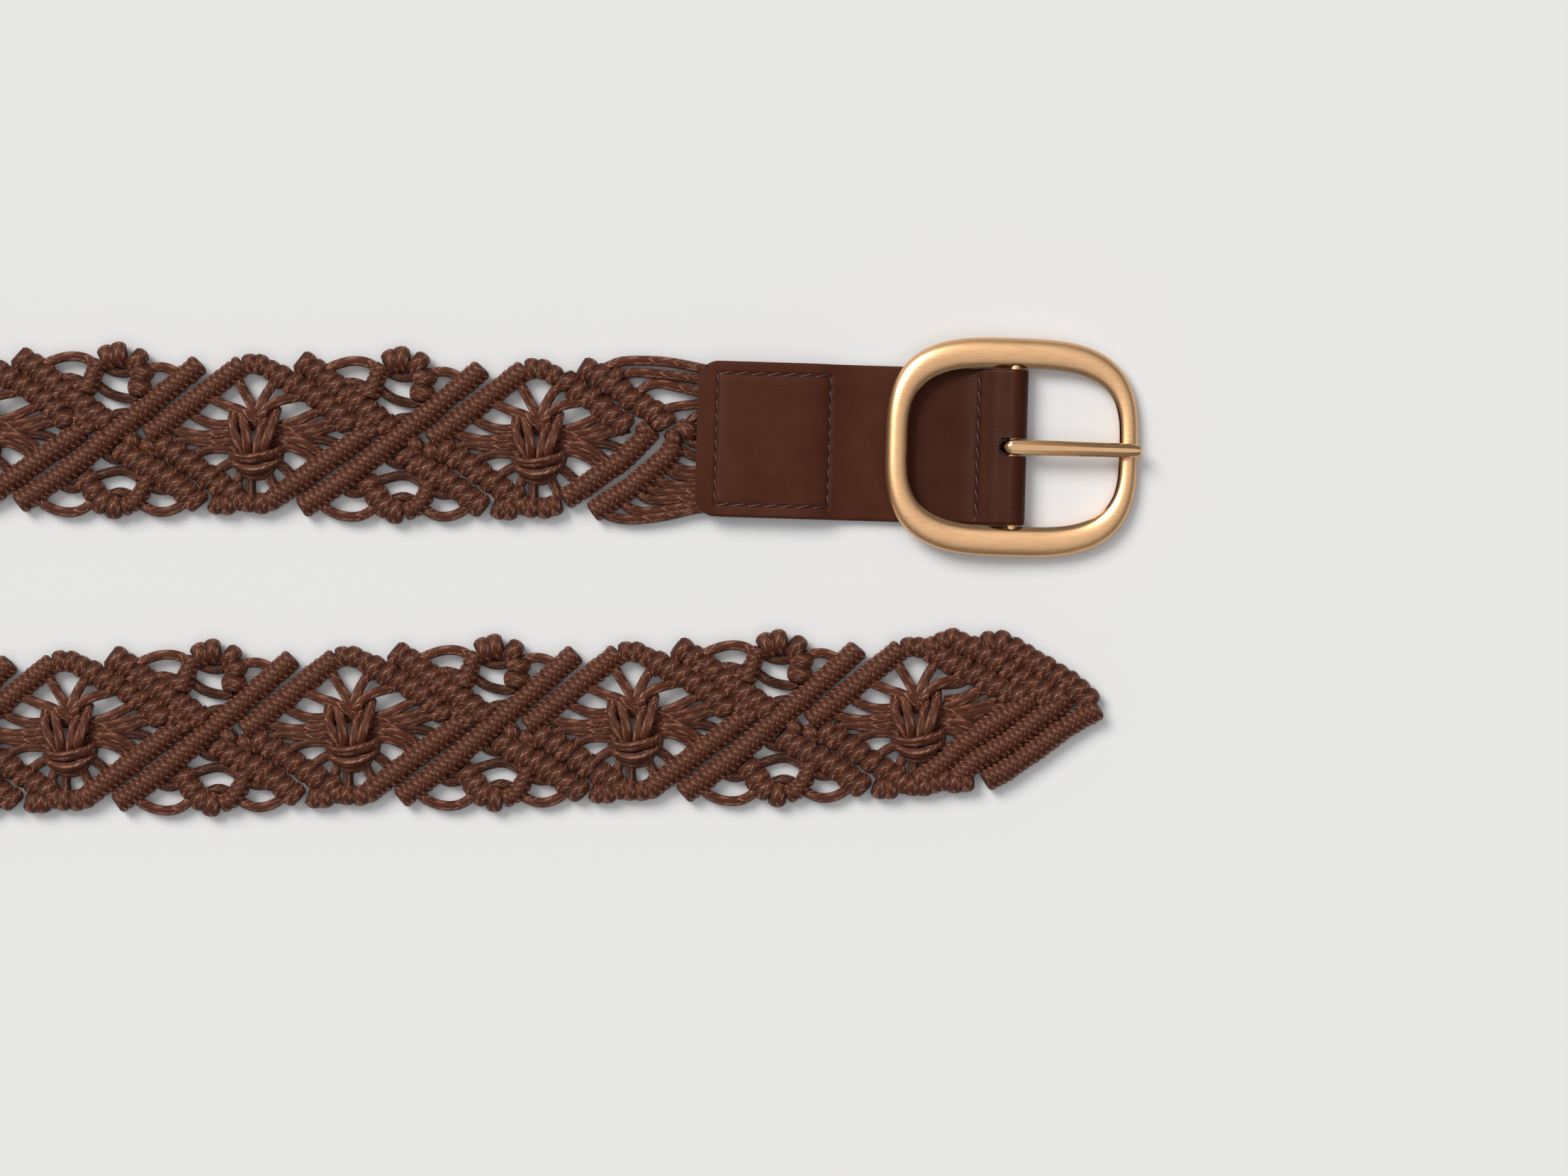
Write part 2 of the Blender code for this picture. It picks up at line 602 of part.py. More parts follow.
cord_brown = material("waxed_cord", (0.105, 0.040, 0.024), 0.62)
leather_brown = material("brown_leather", (0.040, 0.016, 0.011), 0.45)
brushed_gold = material("brushed_gold", (0.78, 0.55, 0.30), 0.32, 1.0)
polished_gold = material("polished_gold", (0.80, 0.56, 0.30), 0.15, 1.0)

band = add_object("knotted_band", band_mesh(), cord_brown)
belt_end = bpy.data.objects.new("belt_end", None)
bpy.context.scene.collection.objects.link(belt_end)
belt_end.rotation_euler = (0, 0, -TAB_TILT)
bar_axis = bpy.data.objects.new("bar_axis", None)
bpy.context.scene.collection.objects.link(bar_axis)
bar_axis.parent = belt_end
bar_axis.location = (0, 0, BAR_HEIGHT)
make_tab(belt_end, leather_brown)
buckle = make_frame(bar_axis, brushed_gold)
buckle.rotation_euler = (0, FRAME_TILT, 0)
make_prong(bar_axis, polished_gold)
centre_on_origin([band, belt_end])
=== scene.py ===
"""Knotted cord belt with a leather tab and a gold centre-bar buckle, lying flat with both ends to the right."""
import json
import math

import bmesh
import bpy
import numpy as np
from mathutils import Matrix, Vector


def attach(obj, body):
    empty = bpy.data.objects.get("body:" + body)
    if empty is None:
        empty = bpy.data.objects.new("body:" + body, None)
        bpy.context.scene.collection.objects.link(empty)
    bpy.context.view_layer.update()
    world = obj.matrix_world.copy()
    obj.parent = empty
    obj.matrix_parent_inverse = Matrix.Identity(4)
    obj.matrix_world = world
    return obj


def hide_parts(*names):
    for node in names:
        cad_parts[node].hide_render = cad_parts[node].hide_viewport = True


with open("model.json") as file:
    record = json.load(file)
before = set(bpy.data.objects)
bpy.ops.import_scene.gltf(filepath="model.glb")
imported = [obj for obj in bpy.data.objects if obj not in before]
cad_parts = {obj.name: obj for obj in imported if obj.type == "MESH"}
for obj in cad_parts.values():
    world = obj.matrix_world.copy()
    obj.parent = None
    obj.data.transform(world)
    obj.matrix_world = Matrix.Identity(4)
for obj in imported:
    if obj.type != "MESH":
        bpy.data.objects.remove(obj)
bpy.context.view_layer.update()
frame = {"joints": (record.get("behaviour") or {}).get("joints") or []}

# The view. The belt is seen from straight above through a long lens, with the buckle and the pointed tip in
# the picture and the bend outside its left edge.
MM = 0.001
hinge = next(joint for joint in frame["joints"] if joint["name"] == "frame_hinge")
bar = Vector(hinge["pos_m"])
VIEW_WIDTH = 404 * MM
VIEW_MIDDLE = bar + Vector((-58.9, -36.1, 0)) * MM
LENS = 100.0

lens = bpy.data.cameras.new("overhead")
lens.lens = LENS
lens.sensor_width = 36
camera = bpy.data.objects.new("overhead", lens)
bpy.context.scene.collection.objects.link(camera)
camera.location = (VIEW_MIDDLE.x, VIEW_MIDDLE.y, VIEW_WIDTH * LENS / lens.sensor_width)
bpy.context.scene.camera = camera

# The route that the band lies in, from the leather's mouth round the bend to the tip. The band is laid out
# flat as distance along and side across, and this carries each point of it to its place on the table.
CELL_LENGTH = 72.7 * MM
BAND_WIDTH = 44.0 * MM
FLOWER_COUNT = 12
MOUTH_TO_FIRST_FLOWER = 40.9 * MM
LAST_FLOWER_TO_TIP = 47.8 * MM
BAND_THICKNESS = 5.0 * MM
TAB_LENGTH = 80.8 * MM
UPPER_RUN = 188.3 * MM
RUN_GAP = 78.0 * MM
BEND_RADIUS = 70.0 * MM
EASE_LENGTH = 20.0 * MM
RUN_TILT = math.radians(0.95)
tab_tilt = math.atan2(hinge["axis"][0], hinge["axis"][1])
flare = math.acos((math.cos(RUN_TILT) + RUN_GAP / 2 / BEND_RADIUS) / 2)
band_length = MOUTH_TO_FIRST_FLOWER + (FLOWER_COUNT - 1) * CELL_LENGTH + LAST_FLOWER_TO_TIP
route = [
    (EASE_LENGTH, tab_tilt - RUN_TILT),
    (UPPER_RUN - EASE_LENGTH, 0.0),
    (BEND_RADIUS * (flare - RUN_TILT), RUN_TILT - flare),
    (BEND_RADIUS * (math.pi + 2 * flare), math.pi + 2 * flare),
    (BEND_RADIUS * (flare - RUN_TILT), RUN_TILT - flare),
]
route.append((band_length - sum(length for length, _ in route), 0.0))


def on_table(distance, side, height=0.0):
    """The place of a point this far from the mouth, this far to the right of the route, and this high."""
    point = Vector((bar.x - TAB_LENGTH * math.cos(tab_tilt), bar.y + TAB_LENGTH * math.sin(tab_tilt)))
    heading = math.pi - tab_tilt
    left = distance
    for length, turn in route:
        part = min(left, length)
        half = turn * part / length / 2
        chord = part if abs(half) < 1e-9 else part * math.sin(half) / half
        point += chord * Vector((math.cos(heading + half), math.sin(heading + half)))
        heading += 2 * half
        left -= part
        if left <= 0:
            break
    x = point.x + left * math.cos(heading) + side * math.sin(heading)
    y = point.y + left * math.sin(heading) - side * math.cos(heading)
    return Vector((x, y, height))


def laid(points, middle, turned):
    """Pattern points (along, across, height), in hundredths of the cell's length, the band's width and the
    band's thickness, laid flat round the middle of a cell or a flower."""
    return [
        (
            middle - turned * along * CELL_LENGTH / 100,
            turned * across * BAND_WIDTH / 100,
            height * BAND_THICKNESS / 100,
        )
        for along, across, height in points
    ]


def smooth_line(points, step):
    """Points at even steps along a smooth curve through these points."""
    points = [Vector(point) for point in points]
    ends = [points[0] * 2 - points[1], *points, points[-1] * 2 - points[-2]]
    dense = [points[0]]
    for before, start, end, after in zip(ends, ends[1:], ends[2:], ends[3:]):
        for k in range(1, 9):
            t = k / 8
            dense.append((
                2 * start + (end - before) * t + (2 * before - 5 * start + 4 * end - after) * t * t
                + (3 * start - before - 3 * end + after) * t ** 3
            ) / 2)
    lengths = np.cumsum([0] + [(b - a).length for a, b in zip(dense, dense[1:])])
    count = max(2, round(lengths[-1] / step) + 1)
    even = np.linspace(0, lengths[-1], count)
    return np.stack([np.interp(even, lengths, [p[axis] for p in dense]) for axis in range(3)], axis=1)


# The cord. It is cotton plaited round in a herringbone and drawn through brown wax. Glossy spots on the raised threads
# are painted a bright glint colour, a painted highlight, and the grooves are painted darker brown, painted shade. One
# group gives its plait to every piece of cord.
CORD_RADIUS = 1.30 * MM
CORD_COLUMNS = 8


def group_socket(group, name, kind, in_out="INPUT", value=None):
    socket = group.interface.new_socket(name, in_out=in_out, socket_type=kind)
    if value is not None:
        socket.default_value = value
    return socket


def shader_math(nodes, links, operation, first, second=None, third=None):
    node = nodes.new("ShaderNodeMath")
    node.operation = operation
    for index, value in enumerate((first, second, third)):
        if value is None:
            continue
        if isinstance(value, (int, float)):
            node.inputs[index].default_value = value
        else:
            links.new(value, node.inputs[index])
    return node.outputs[0]


def make_plait_group():
    """Herringbone plait on a cord whose U is the length along it in metres and V is once round it."""
    group = bpy.data.node_groups.new("plaited_cord", "ShaderNodeTree")
    group_socket(group, "Stroke Length", "NodeSocketFloat", value=0.60 * MM)
    group_socket(group, "Columns", "NodeSocketFloat", value=CORD_COLUMNS)
    group_socket(group, "Height", "NodeSocketFloat", "OUTPUT")
    group_socket(group, "Glint Spot", "NodeSocketFloat", "OUTPUT")
    nodes, links = group.nodes, group.links
    given = nodes.new("NodeGroupInput")
    result = nodes.new("NodeGroupOutput")
    uv = nodes.new("ShaderNodeUVMap")
    uv.uv_map = "UVMap"
    split = nodes.new("ShaderNodeSeparateXYZ")
    links.new(uv.outputs[0], split.inputs[0])
    wide = nodes.new("ShaderNodeAttribute")
    wide.attribute_name = "columns"
    columns = shader_math(nodes, links, "MAXIMUM", wide.outputs["Fac"], given.outputs["Columns"])
    column = shader_math(nodes, links, "MULTIPLY_ADD", split.outputs["Y"], columns, 0.5)
    column = shader_math(nodes, links, "FLOORED_MODULO", column, columns)
    within = shader_math(nodes, links, "FRACT", column)
    parity = shader_math(nodes, links, "MODULO", shader_math(nodes, links, "FLOOR", column), 2.0)
    slope = shader_math(nodes, links, "MULTIPLY_ADD", parity, 2.0, -1.0)
    lean = shader_math(nodes, links, "MULTIPLY", shader_math(nodes, links, "MULTIPLY", slope, within), 2.4)
    place = nodes.new("ShaderNodeTexCoord")
    wander = nodes.new("ShaderNodeTexNoise")
    wander.inputs["Scale"].default_value = 420.0
    wander.inputs["Detail"].default_value = 2.0
    links.new(place.outputs["Object"], wander.inputs["Vector"])
    along = shader_math(nodes, links, "DIVIDE", split.outputs["X"], given.outputs["Stroke Length"])
    along = shader_math(nodes, links, "MULTIPLY_ADD", wander.outputs["Fac"], 1.8, along)
    stroke = shader_math(nodes, links, "FRACT", shader_math(nodes, links, "ADD", along, lean))
    stroke_crown = shader_math(nodes, links, "SINE", shader_math(nodes, links, "MULTIPLY", stroke, math.pi))
    column_crown = shader_math(nodes, links, "SINE", shader_math(nodes, links, "MULTIPLY", within, math.pi))
    crown = shader_math(
        nodes, links, "MULTIPLY",
        shader_math(nodes, links, "POWER", stroke_crown, 0.45),
        shader_math(nodes, links, "POWER", column_crown, 0.2),
    )
    phase = shader_math(nodes, links, "ADD", along, lean)
    stroke_place = nodes.new("ShaderNodeCombineXYZ")
    links.new(shader_math(nodes, links, "FLOOR", phase), stroke_place.inputs["X"])
    links.new(shader_math(nodes, links, "FLOOR", column), stroke_place.inputs["Y"])
    uneven = nodes.new("ShaderNodeTexWhiteNoise")
    uneven.noise_dimensions = "2D"
    links.new(stroke_place.outputs[0], uneven.inputs["Vector"])
    fibre_place = nodes.new("ShaderNodeCombineXYZ")
    links.new(shader_math(nodes, links, "MULTIPLY", phase, 2.6), fibre_place.inputs["X"])
    links.new(shader_math(nodes, links, "MULTIPLY", column, 0.9), fibre_place.inputs["Y"])
    fibre = nodes.new("ShaderNodeTexNoise")
    fibre.inputs["Scale"].default_value = 1.0
    fibre.inputs["Detail"].default_value = 3.0
    links.new(fibre_place.outputs[0], fibre.inputs["Vector"])
    # Glint spots: random spots on the raised threads, given a painted highlight colour and a lower roughness by the
    # cord's material.
    sharp = nodes.new("ShaderNodeMapRange")
    sharp.inputs["From Min"].default_value = 1.0
    sharp.inputs["From Max"].default_value = 1.24
    links.new(shader_math(nodes, links, "MULTIPLY_ADD", uneven.outputs["Value"], 0.75, fibre.outputs["Fac"]),
              sharp.inputs["Value"])
    threads = shader_math(nodes, links, "MULTIPLY_ADD", fibre.outputs["Fac"], 0.8, crown)
    links.new(
        shader_math(nodes, links, "MULTIPLY_ADD", uneven.outputs["Value"], 0.55, threads), result.inputs["Height"],
    )
    links.new(shader_math(nodes, links, "MULTIPLY", sharp.outputs[0], crown), result.inputs["Glint Spot"])
    return group


def make_cord_material(plait):
    material = bpy.data.materials.new("waxed_cord")
    material.use_nodes = True
    nodes, links = material.node_tree.nodes, material.node_tree.links
    shader = nodes["Principled BSDF"]
    pattern = nodes.new("ShaderNodeGroup")
    pattern.node_tree = plait
    # Painted shade: the plait's colour goes from dark in its grooves to lit brown on its raised threads, with some
    # random tone from stroke to stroke.
    shade = nodes.new("ShaderNodeMix")
    shade.data_type = "RGBA"
    shade.inputs["A"].default_value = (0.016, 0.0036, 0.0018, 1)
    shade.inputs["B"].default_value = (0.132, 0.0315, 0.0150, 1)
    raised = nodes.new("ShaderNodeMapRange")
    raised.inputs["From Min"].default_value = 0.60
    raised.inputs["From Max"].default_value = 1.95
    links.new(pattern.outputs["Height"], raised.inputs["Value"])
    links.new(raised.outputs[0], shade.inputs["Factor"])
    # Painted highlight: the glint spots are mixed towards a bright pinkish brown.
    painted_glint = nodes.new("ShaderNodeMix")
    painted_glint.data_type = "RGBA"
    painted_glint.inputs["B"].default_value = (0.50, 0.235, 0.155, 1)
    links.new(shade.outputs["Result"], painted_glint.inputs["A"])
    links.new(shader_math(nodes, links, "MULTIPLY", pattern.outputs["Glint Spot"], 0.74), painted_glint.inputs["Factor"])
    # Painted shade: the sides of each turn and the cords lying low under the rows are mixed towards near black.
    painted_shade = nodes.new("ShaderNodeAttribute")
    painted_shade.attribute_name = "painted_shade"
    shaded_colour = nodes.new("ShaderNodeMix")
    shaded_colour.data_type = "RGBA"
    shaded_colour.inputs["B"].default_value = (0.0080, 0.0018, 0.0009, 1)
    links.new(painted_glint.outputs["Result"], shaded_colour.inputs["A"])
    links.new(shader_math(nodes, links, "MULTIPLY", painted_shade.outputs["Fac"], 0.92), shaded_colour.inputs["Factor"])
    links.new(shaded_colour.outputs["Result"], shader.inputs["Base Color"])
    gloss = nodes.new("ShaderNodeMapRange")
    gloss.inputs["To Min"].default_value = 0.44
    gloss.inputs["To Max"].default_value = 0.15
    links.new(pattern.outputs["Glint Spot"], gloss.inputs["Value"])
    links.new(gloss.outputs[0], shader.inputs["Roughness"])
    bump = nodes.new("ShaderNodeBump")
    bump.inputs["Strength"].default_value = 0.85
    bump.inputs["Distance"].default_value = 0.16 * MM
    links.new(pattern.outputs["Height"], bump.inputs["Height"])
    links.new(bump.outputs[0], shader.inputs["Normal"])
    shader.inputs["Specular IOR Level"].default_value = 0.34
    shader.inputs["Specular Tint"].default_value = (1.0, 0.66, 0.50, 1)
    return material


cord_finish = make_cord_material(make_plait_group())

# The rows of knots. Each knot is a double half hitch, two turns of cord drawn tight round a carrying cord. Rows
# that climb to the right lie flat and look like rope with fine turns. Rows that fall to the right are pulled up
# into fat lumps, one for each knot. One turn is modelled once and set on points along every row.
TURN_STEPS = 20
TURN_SIDES = 10
TURN_HEIGHT = 2.46 * MM
TURN_LENGTH = 2 * math.pi * 2.6 * MM
ROW_KINDS = {
    "rope": {"pitch": 1.66 * MM, "width": 2.60 * MM, "half": 3.05 * MM, "slant": 4, "tilt": 4},
    "lump": {"pitch": 3.40 * MM, "width": 4.30 * MM, "half": 3.38 * MM, "slant": -11, "tilt": 9},
    "fat": {"pitch": 3.50 * MM, "width": 4.40 * MM, "half": 3.30 * MM, "slant": 4, "tilt": 5},
    "bead": {"pitch": 3.20 * MM, "width": 4.10 * MM, "half": 2.80 * MM, "slant": -5, "tilt": 5},
    "ring": {"pitch": 1.75 * MM, "width": 2.60 * MM, "half": 2.50 * MM, "slant": 8, "tilt": 3},
}


def make_turn():
    """One turn of cord round the X axis: outer radius 1 and width 1, with the cord's length as U in metres."""
    cord_thick = 0.43
    vertices, uvs, painted_shade = [], [], []
    for i in range(TURN_STEPS):
        angle = 2 * math.pi * i / TURN_STEPS
        for j in range(TURN_SIDES):
            around = 2 * math.pi * j / TURN_SIDES
            radius = 1 - cord_thick + cord_thick * math.cos(around)
            vertices.append((0.5 * math.sin(around), radius * math.cos(angle), radius * math.sin(angle)))
            # The turn's sides, where it presses against its neighbours, carry painted shade.
            painted_shade.append((1 - max(0, math.cos(around))) ** 0.9)
    faces = []
    for i in range(TURN_STEPS):
        for j in range(TURN_SIDES):
            after, beside = (i + 1) % TURN_STEPS, (j + 1) % TURN_SIDES
            faces.append((
                i * TURN_SIDES + j, after * TURN_SIDES + j, after * TURN_SIDES + beside, i * TURN_SIDES + beside,
            ))
            for step, side in ((i, j), (i + 1, j), (i + 1, j + 1), (i, j + 1)):
                uvs.append((step / TURN_STEPS * TURN_LENGTH, side / TURN_SIDES))
    mesh = bpy.data.meshes.new("one_turn")
    mesh.from_pydata(vertices, [], faces)
    layer = mesh.uv_layers.new(name="UVMap")
    layer.data.foreach_set("uv", np.array(uvs, np.float32).ravel())
    mesh.attributes.new("painted_shade", "FLOAT", "POINT").data.foreach_set("value", painted_shade)
    mesh.shade_smooth()
    return bpy.data.objects.new("one_turn", mesh)


def make_placing_tree():
    """Sets a copy of one mesh on every point, turned and sized by the points' own attributes."""
    tree = bpy.data.node_groups.new("set_on_points", "GeometryNodeTree")
    group_socket(tree, "Points", "NodeSocketGeometry")
    group_socket(tree, "Copied", "NodeSocketObject")
    group_socket(tree, "Finish", "NodeSocketMaterial")
    group_socket(tree, "Geometry", "NodeSocketGeometry", "OUTPUT")
    nodes, links = tree.nodes, tree.links
    given = nodes.new("NodeGroupInput")
    result = nodes.new("NodeGroupOutput")
    copied = nodes.new("GeometryNodeObjectInfo")
    links.new(given.outputs["Copied"], copied.inputs["Object"])
    attributes = {}
    for name in ("turned", "sized"):
        attributes[name] = nodes.new("GeometryNodeInputNamedAttribute")
        attributes[name].data_type = "FLOAT_VECTOR"
        attributes[name].inputs["Name"].default_value = name
    euler = nodes.new("FunctionNodeEulerToRotation")
    links.new(attributes["turned"].outputs["Attribute"], euler.inputs[0])
    setting = nodes.new("GeometryNodeInstanceOnPoints")
    links.new(given.outputs["Points"], setting.inputs["Points"])
    links.new(copied.outputs["Geometry"], setting.inputs["Instance"])
    links.new(euler.outputs[0], setting.inputs["Rotation"])
    links.new(attributes["sized"].outputs["Attribute"], setting.inputs["Scale"])
    real = nodes.new("GeometryNodeRealizeInstances")
    links.new(setting.outputs[0], real.inputs[0])
    finish = nodes.new("GeometryNodeSetMaterial")
    links.new(real.outputs[0], finish.inputs["Geometry"])
    links.new(given.outputs["Finish"], finish.inputs["Material"])
    links.new(finish.outputs[0], result.inputs[0])
    return tree


def through_nodes(name, source, tree, settings, material):
    """A plain mesh object made by running the tree on the source mesh."""
    holder = bpy.data.objects.new(name, source)
    bpy.context.scene.collection.objects.link(holder)
    modifier = holder.modifiers.new("make", "NODES")
    modifier.node_group = tree
    for item in tree.interface.items_tree:
        if item.item_type == "SOCKET" and item.in_out == "INPUT" and item.name in settings:
            modifier[item.identifier] = settings[item.name]
    bpy.context.view_layer.update()
    evaluated = holder.evaluated_get(bpy.context.evaluated_depsgraph_get())
    made = bpy.data.meshes.new_from_object(evaluated)
    bpy.data.objects.remove(holder)
    for attribute in ("turned", "sized", "thick"):
        if attribute in made.attributes:
            made.attributes.remove(made.attributes[attribute])
    made.name = name
    made.materials.clear()
    made.materials.append(material)
    piece = bpy.data.objects.new(name, made)
    bpy.context.scene.collection.objects.link(piece)
    return piece


def turns_on_row(line, kind, dice):
    """Places, turns and sizes for the cord turns of one row, whose line is laid flat."""
    row = ROW_KINDS[kind]
    even = smooth_line(line, row["pitch"] / 4)
    lengths = np.concatenate([[0], np.cumsum(np.linalg.norm(np.diff(even, axis=0), axis=1))])
    count = max(1, round(lengths[-1] / row["pitch"]))
    found = []
    for k in range(count):
        at = (k + 0.5 + dice.normal(0, 0.04)) * lengths[-1] / count
        here, ahead, behind = (
            [float(np.interp(place, lengths, even[:, axis])) for axis in range(3)] for place in (at, at + MM, at - MM)
        )
        way = (on_table(*ahead) - on_table(*behind)).normalized()
        across = Vector((0, 0, 1)).cross(way).normalized()
        matrix = Matrix((way, across, way.cross(across))).transposed()
        matrix = matrix @ Matrix.Rotation(math.radians(row["slant"] + dice.normal(0, 3)), 3, "Z")
        matrix = matrix @ Matrix.Rotation(math.radians(row["tilt"] + dice.normal(0, 2)), 3, "Y")
        half = row["half"] * (1 + dice.normal(0, 0.025))
        tall = TURN_HEIGHT * (1 + dice.normal(0, 0.015))
        width = row["width"] * (1 + dice.normal(0, 0.03))
        place = on_table(here[0], here[1], max(here[2], tall))
        found.append((place, matrix.to_euler(), (width, half, tall)))
    return found


# Rows of one cell, as (kind, points), round the crossing of its two long rows. The two small rings at the
# edges are rows too, bent round.
CELL_ROWS = (
    ("rope", ((-44.2, -40.2, 50), (-33.7, -27.8, 50), (-25.1, -17.4, 50), (-18.1, -9.1, 50), (-12.1,
        -1.2, 50))),
    ("rope", ((-33.7, -44.8, 50), (-25.1, -35.3, 50), (-15.1, -23.2, 52), (-5.0, -9.1, 54), (5.0, 4.1,
        54), (15.1, 18.3, 52), (22.1, 27.8, 50), (29.1, 38.2, 50))),
    ("rope", ((11.6, -3.7, 50), (16.1, 1.2, 50), (20.6, 7.5, 50), (26.6, 14.9, 50), (34.2, 24.9, 50),
        (44.2, 37.8, 50))),
    ("lump", ((-35.2, 41.1, 50), (-28.9, 34.9, 50), (-21.6, 25.3, 50), (-13.8, 16.2, 50), (-8.0, 9.1,
        50), (-2.3, 2.1, 46))),
    ("lump", ((-44.2, 33.2, 50), (-37.7, 28.2, 50), (-29.1, 20.3, 50), (-21.6, 11.2, 50), (-16.6, 2.1,
        48))),
    ("lump", ((1.5, -10.8, 46), (7.5, -18.7, 50), (15.1, -25.3, 50), (21.1, -31.5, 50), (26.1, -38.2,
        50), (30.7, -43.2, 50))),
    ("lump", ((14.6, -8.7, 48), (18.1, -11.2, 50), (23.1, -15.8, 50), (30.4, -24.5, 50), (37.7, -32.8,
        50), (43.7, -38.2, 50))),
    ("ring", ((-10.3, 20.7, 52), (-8.8, 27.4, 54), (-7.3, 34.0, 54), (-5.5, 38.6, 54))),
    ("fat", ((-5.0, 39.8, 56), (-1.0, 42.7, 56), (3.0, 43.2, 50))),
    ("fat", ((5.0, 42.3, 54), (8.0, 38.2, 54), (9.0, 31.5, 54), (8.3, 24.9, 52), (7.8, 19.9, 50))),
    ("fat", ((-11.3, -27.8, 50), (-9.0, -33.2, 50), (-6.8, -38.2, 50), (-4.3, -43.2, 50), (-1.0, -46.1,
        50), (2.0, -46.5, 46))),
    ("ring", ((3.0, -46.1, 52), (6.0, -44.4, 52), (8.5, -40.2, 52), (10.6, -34.4, 52), (11.6, -28.2,
        50))),
    ("bead", ((-13.1, 27.4, 50), (-10.6, 22.4, 50))),
    ("bead", ((10.1, -14.9, 46), (13.6, -7.5, 46))),
    ("bead", ((-13.0, 8.0, 48), (-8.5, -2.0, 48))),
    ("bead", ((3.6, -10.5, 46), (8.6, -4.6, 46))),
)
FLOWER_BEADS = (
    ("bead", ((-5.0, 38.2, 50), (-1.0, 39.0, 50), (2.5, 37.3, 50))),
    ("bead", ((2.5, 36.5, 50), (6.5, 34.0, 50))),
    ("bead", ((-15.6, -42.7, 50), (-12.1, -44.0, 50), (-8.5, -43.2, 48))),
    ("bead", ((-7.5, -40.2, 48), (-4.3, -41.9, 50), (-1.0, -42.3, 50))),
    ("bead", ((0.0, -42.7, 50), (3.5, -42.3, 50), (7.0, -39.8, 48))),
)
BUCKLE_END_ROWS = (
    ("lump", ((7.8, 34.5, 50), (11.1, 27.5, 50), (15.9, 24.1, 50), (19.4, 20.4, 50), (23.2, 14.6, 50), (26.7, 10.0, 50), (31.5, 5.5, 50))),
    ("lump", ((14.4, 39.5, 50), (17.9, 37.8, 50), (20.9, 35.4, 50), (24.2, 31.2, 50), (28.2, 27.5, 50), (31.7, 22.1, 50), (36.0, 18.3, 50), (40.8, 13.8, 50), (45.3, 6.7, 50))),
    ("rope", ((9.2, -37.3, 50), (16.3, -29.4, 50), (22.3, -21.9, 50), (28.1, -15.3, 50), (33.1, -7.4, 50), (36.9, -1.2, 50), (39.1, 4.2, 50))),
    ("rope", ((19.3, -44.7, 50), (25.3, -37.7, 50), (31.1, -31.5, 50), (36.1, -24.8, 50), (41.1, -17.3, 50), (45.4, -11.1, 50), (47.9, -4.5, 50))),
    ("bead", ((36.0, 0.1, 50), (38.7, 6.7, 50))),
    ("bead", ((45.5, -2.4, 50), (49.0, 0.5, 50))),
    ("fat", ((50.6, 0.1, 50), (53.6, 9.2, 50))),
    ("bead", ((24.9, 37.0, 50), (28.4, 33.3, 50))),
)
TIP_ROWS = (
    ("lump", ((22.9, 39.4, 50), (29.9, 40.2, 50), (35.9, 34.4, 50), (42.0, 27.8, 50), (48.0, 22.0, 50), (53.5, 16.2, 50), (58.0, 9.5, 50), (61.6, 3.7, 50))),
    ("lump", ((13.1, 41.1, 50), (21.4, 36.1, 50), (28.6, 29.0, 50), (36.4, 20.7, 50), (43.7, 11.6, 50), (51.3, 7.1, 50))),
    ("lump", ((6.3, 34.4, 50), (13.3, 27.8, 50), (18.6, 24.1, 50), (24.6, 18.7, 50), (29.9, 12.9, 50), (37.9, 7.9, 50))),
    ("rope", ((1.3, -38.2, 50), (8.3, -29.0, 50), (14.3, -20.7, 50), (21.6, -12.4, 50), (28.6, -5.0, 50), (34.7, 0.8, 50), (39.9, 7.1, 50))),
    ("rope", ((12.6, -39.0, 50), (19.6, -29.0, 50), (26.6, -22.4, 50), (33.7, -15.8, 50), (40.7, -6.6, 50), (46.7, 0.0, 50), (52.5, 7.9, 50))),
    ("rope", ((23.4, -40.2, 50), (30.7, -34.0, 50), (36.7, -27.4, 50), (42.7, -20.7, 50), (48.7, -13.3, 50), (55.8, -5.8, 50), (63.3, 0.8, 50))),
    ("bead", ((3.3, 36.9, 50), (8.3, 41.1, 50), (14.3, 44.4, 50))),
    ("bead", ((-7.8, -40.2, 50), (-2.3, -39.8, 50), (2.5, -36.9, 50))),
    ("bead", ((6.3, -38.6, 50), (13.1, -41.1, 50), (18.3, -39.8, 50))),
    ("bead", ((40.7, 13.3, 50), (46.5, 6.2, 50))),
)
flowers = [MOUTH_TO_FIRST_FLOWER + k * CELL_LENGTH for k in range(FLOWER_COUNT)]
HALFWAY = FLOWER_COUNT // 2
PIECE_FLOWERS = 2
placing = make_placing_tree()
one_turn = make_turn()
bpy.context.scene.collection.objects.link(one_turn)
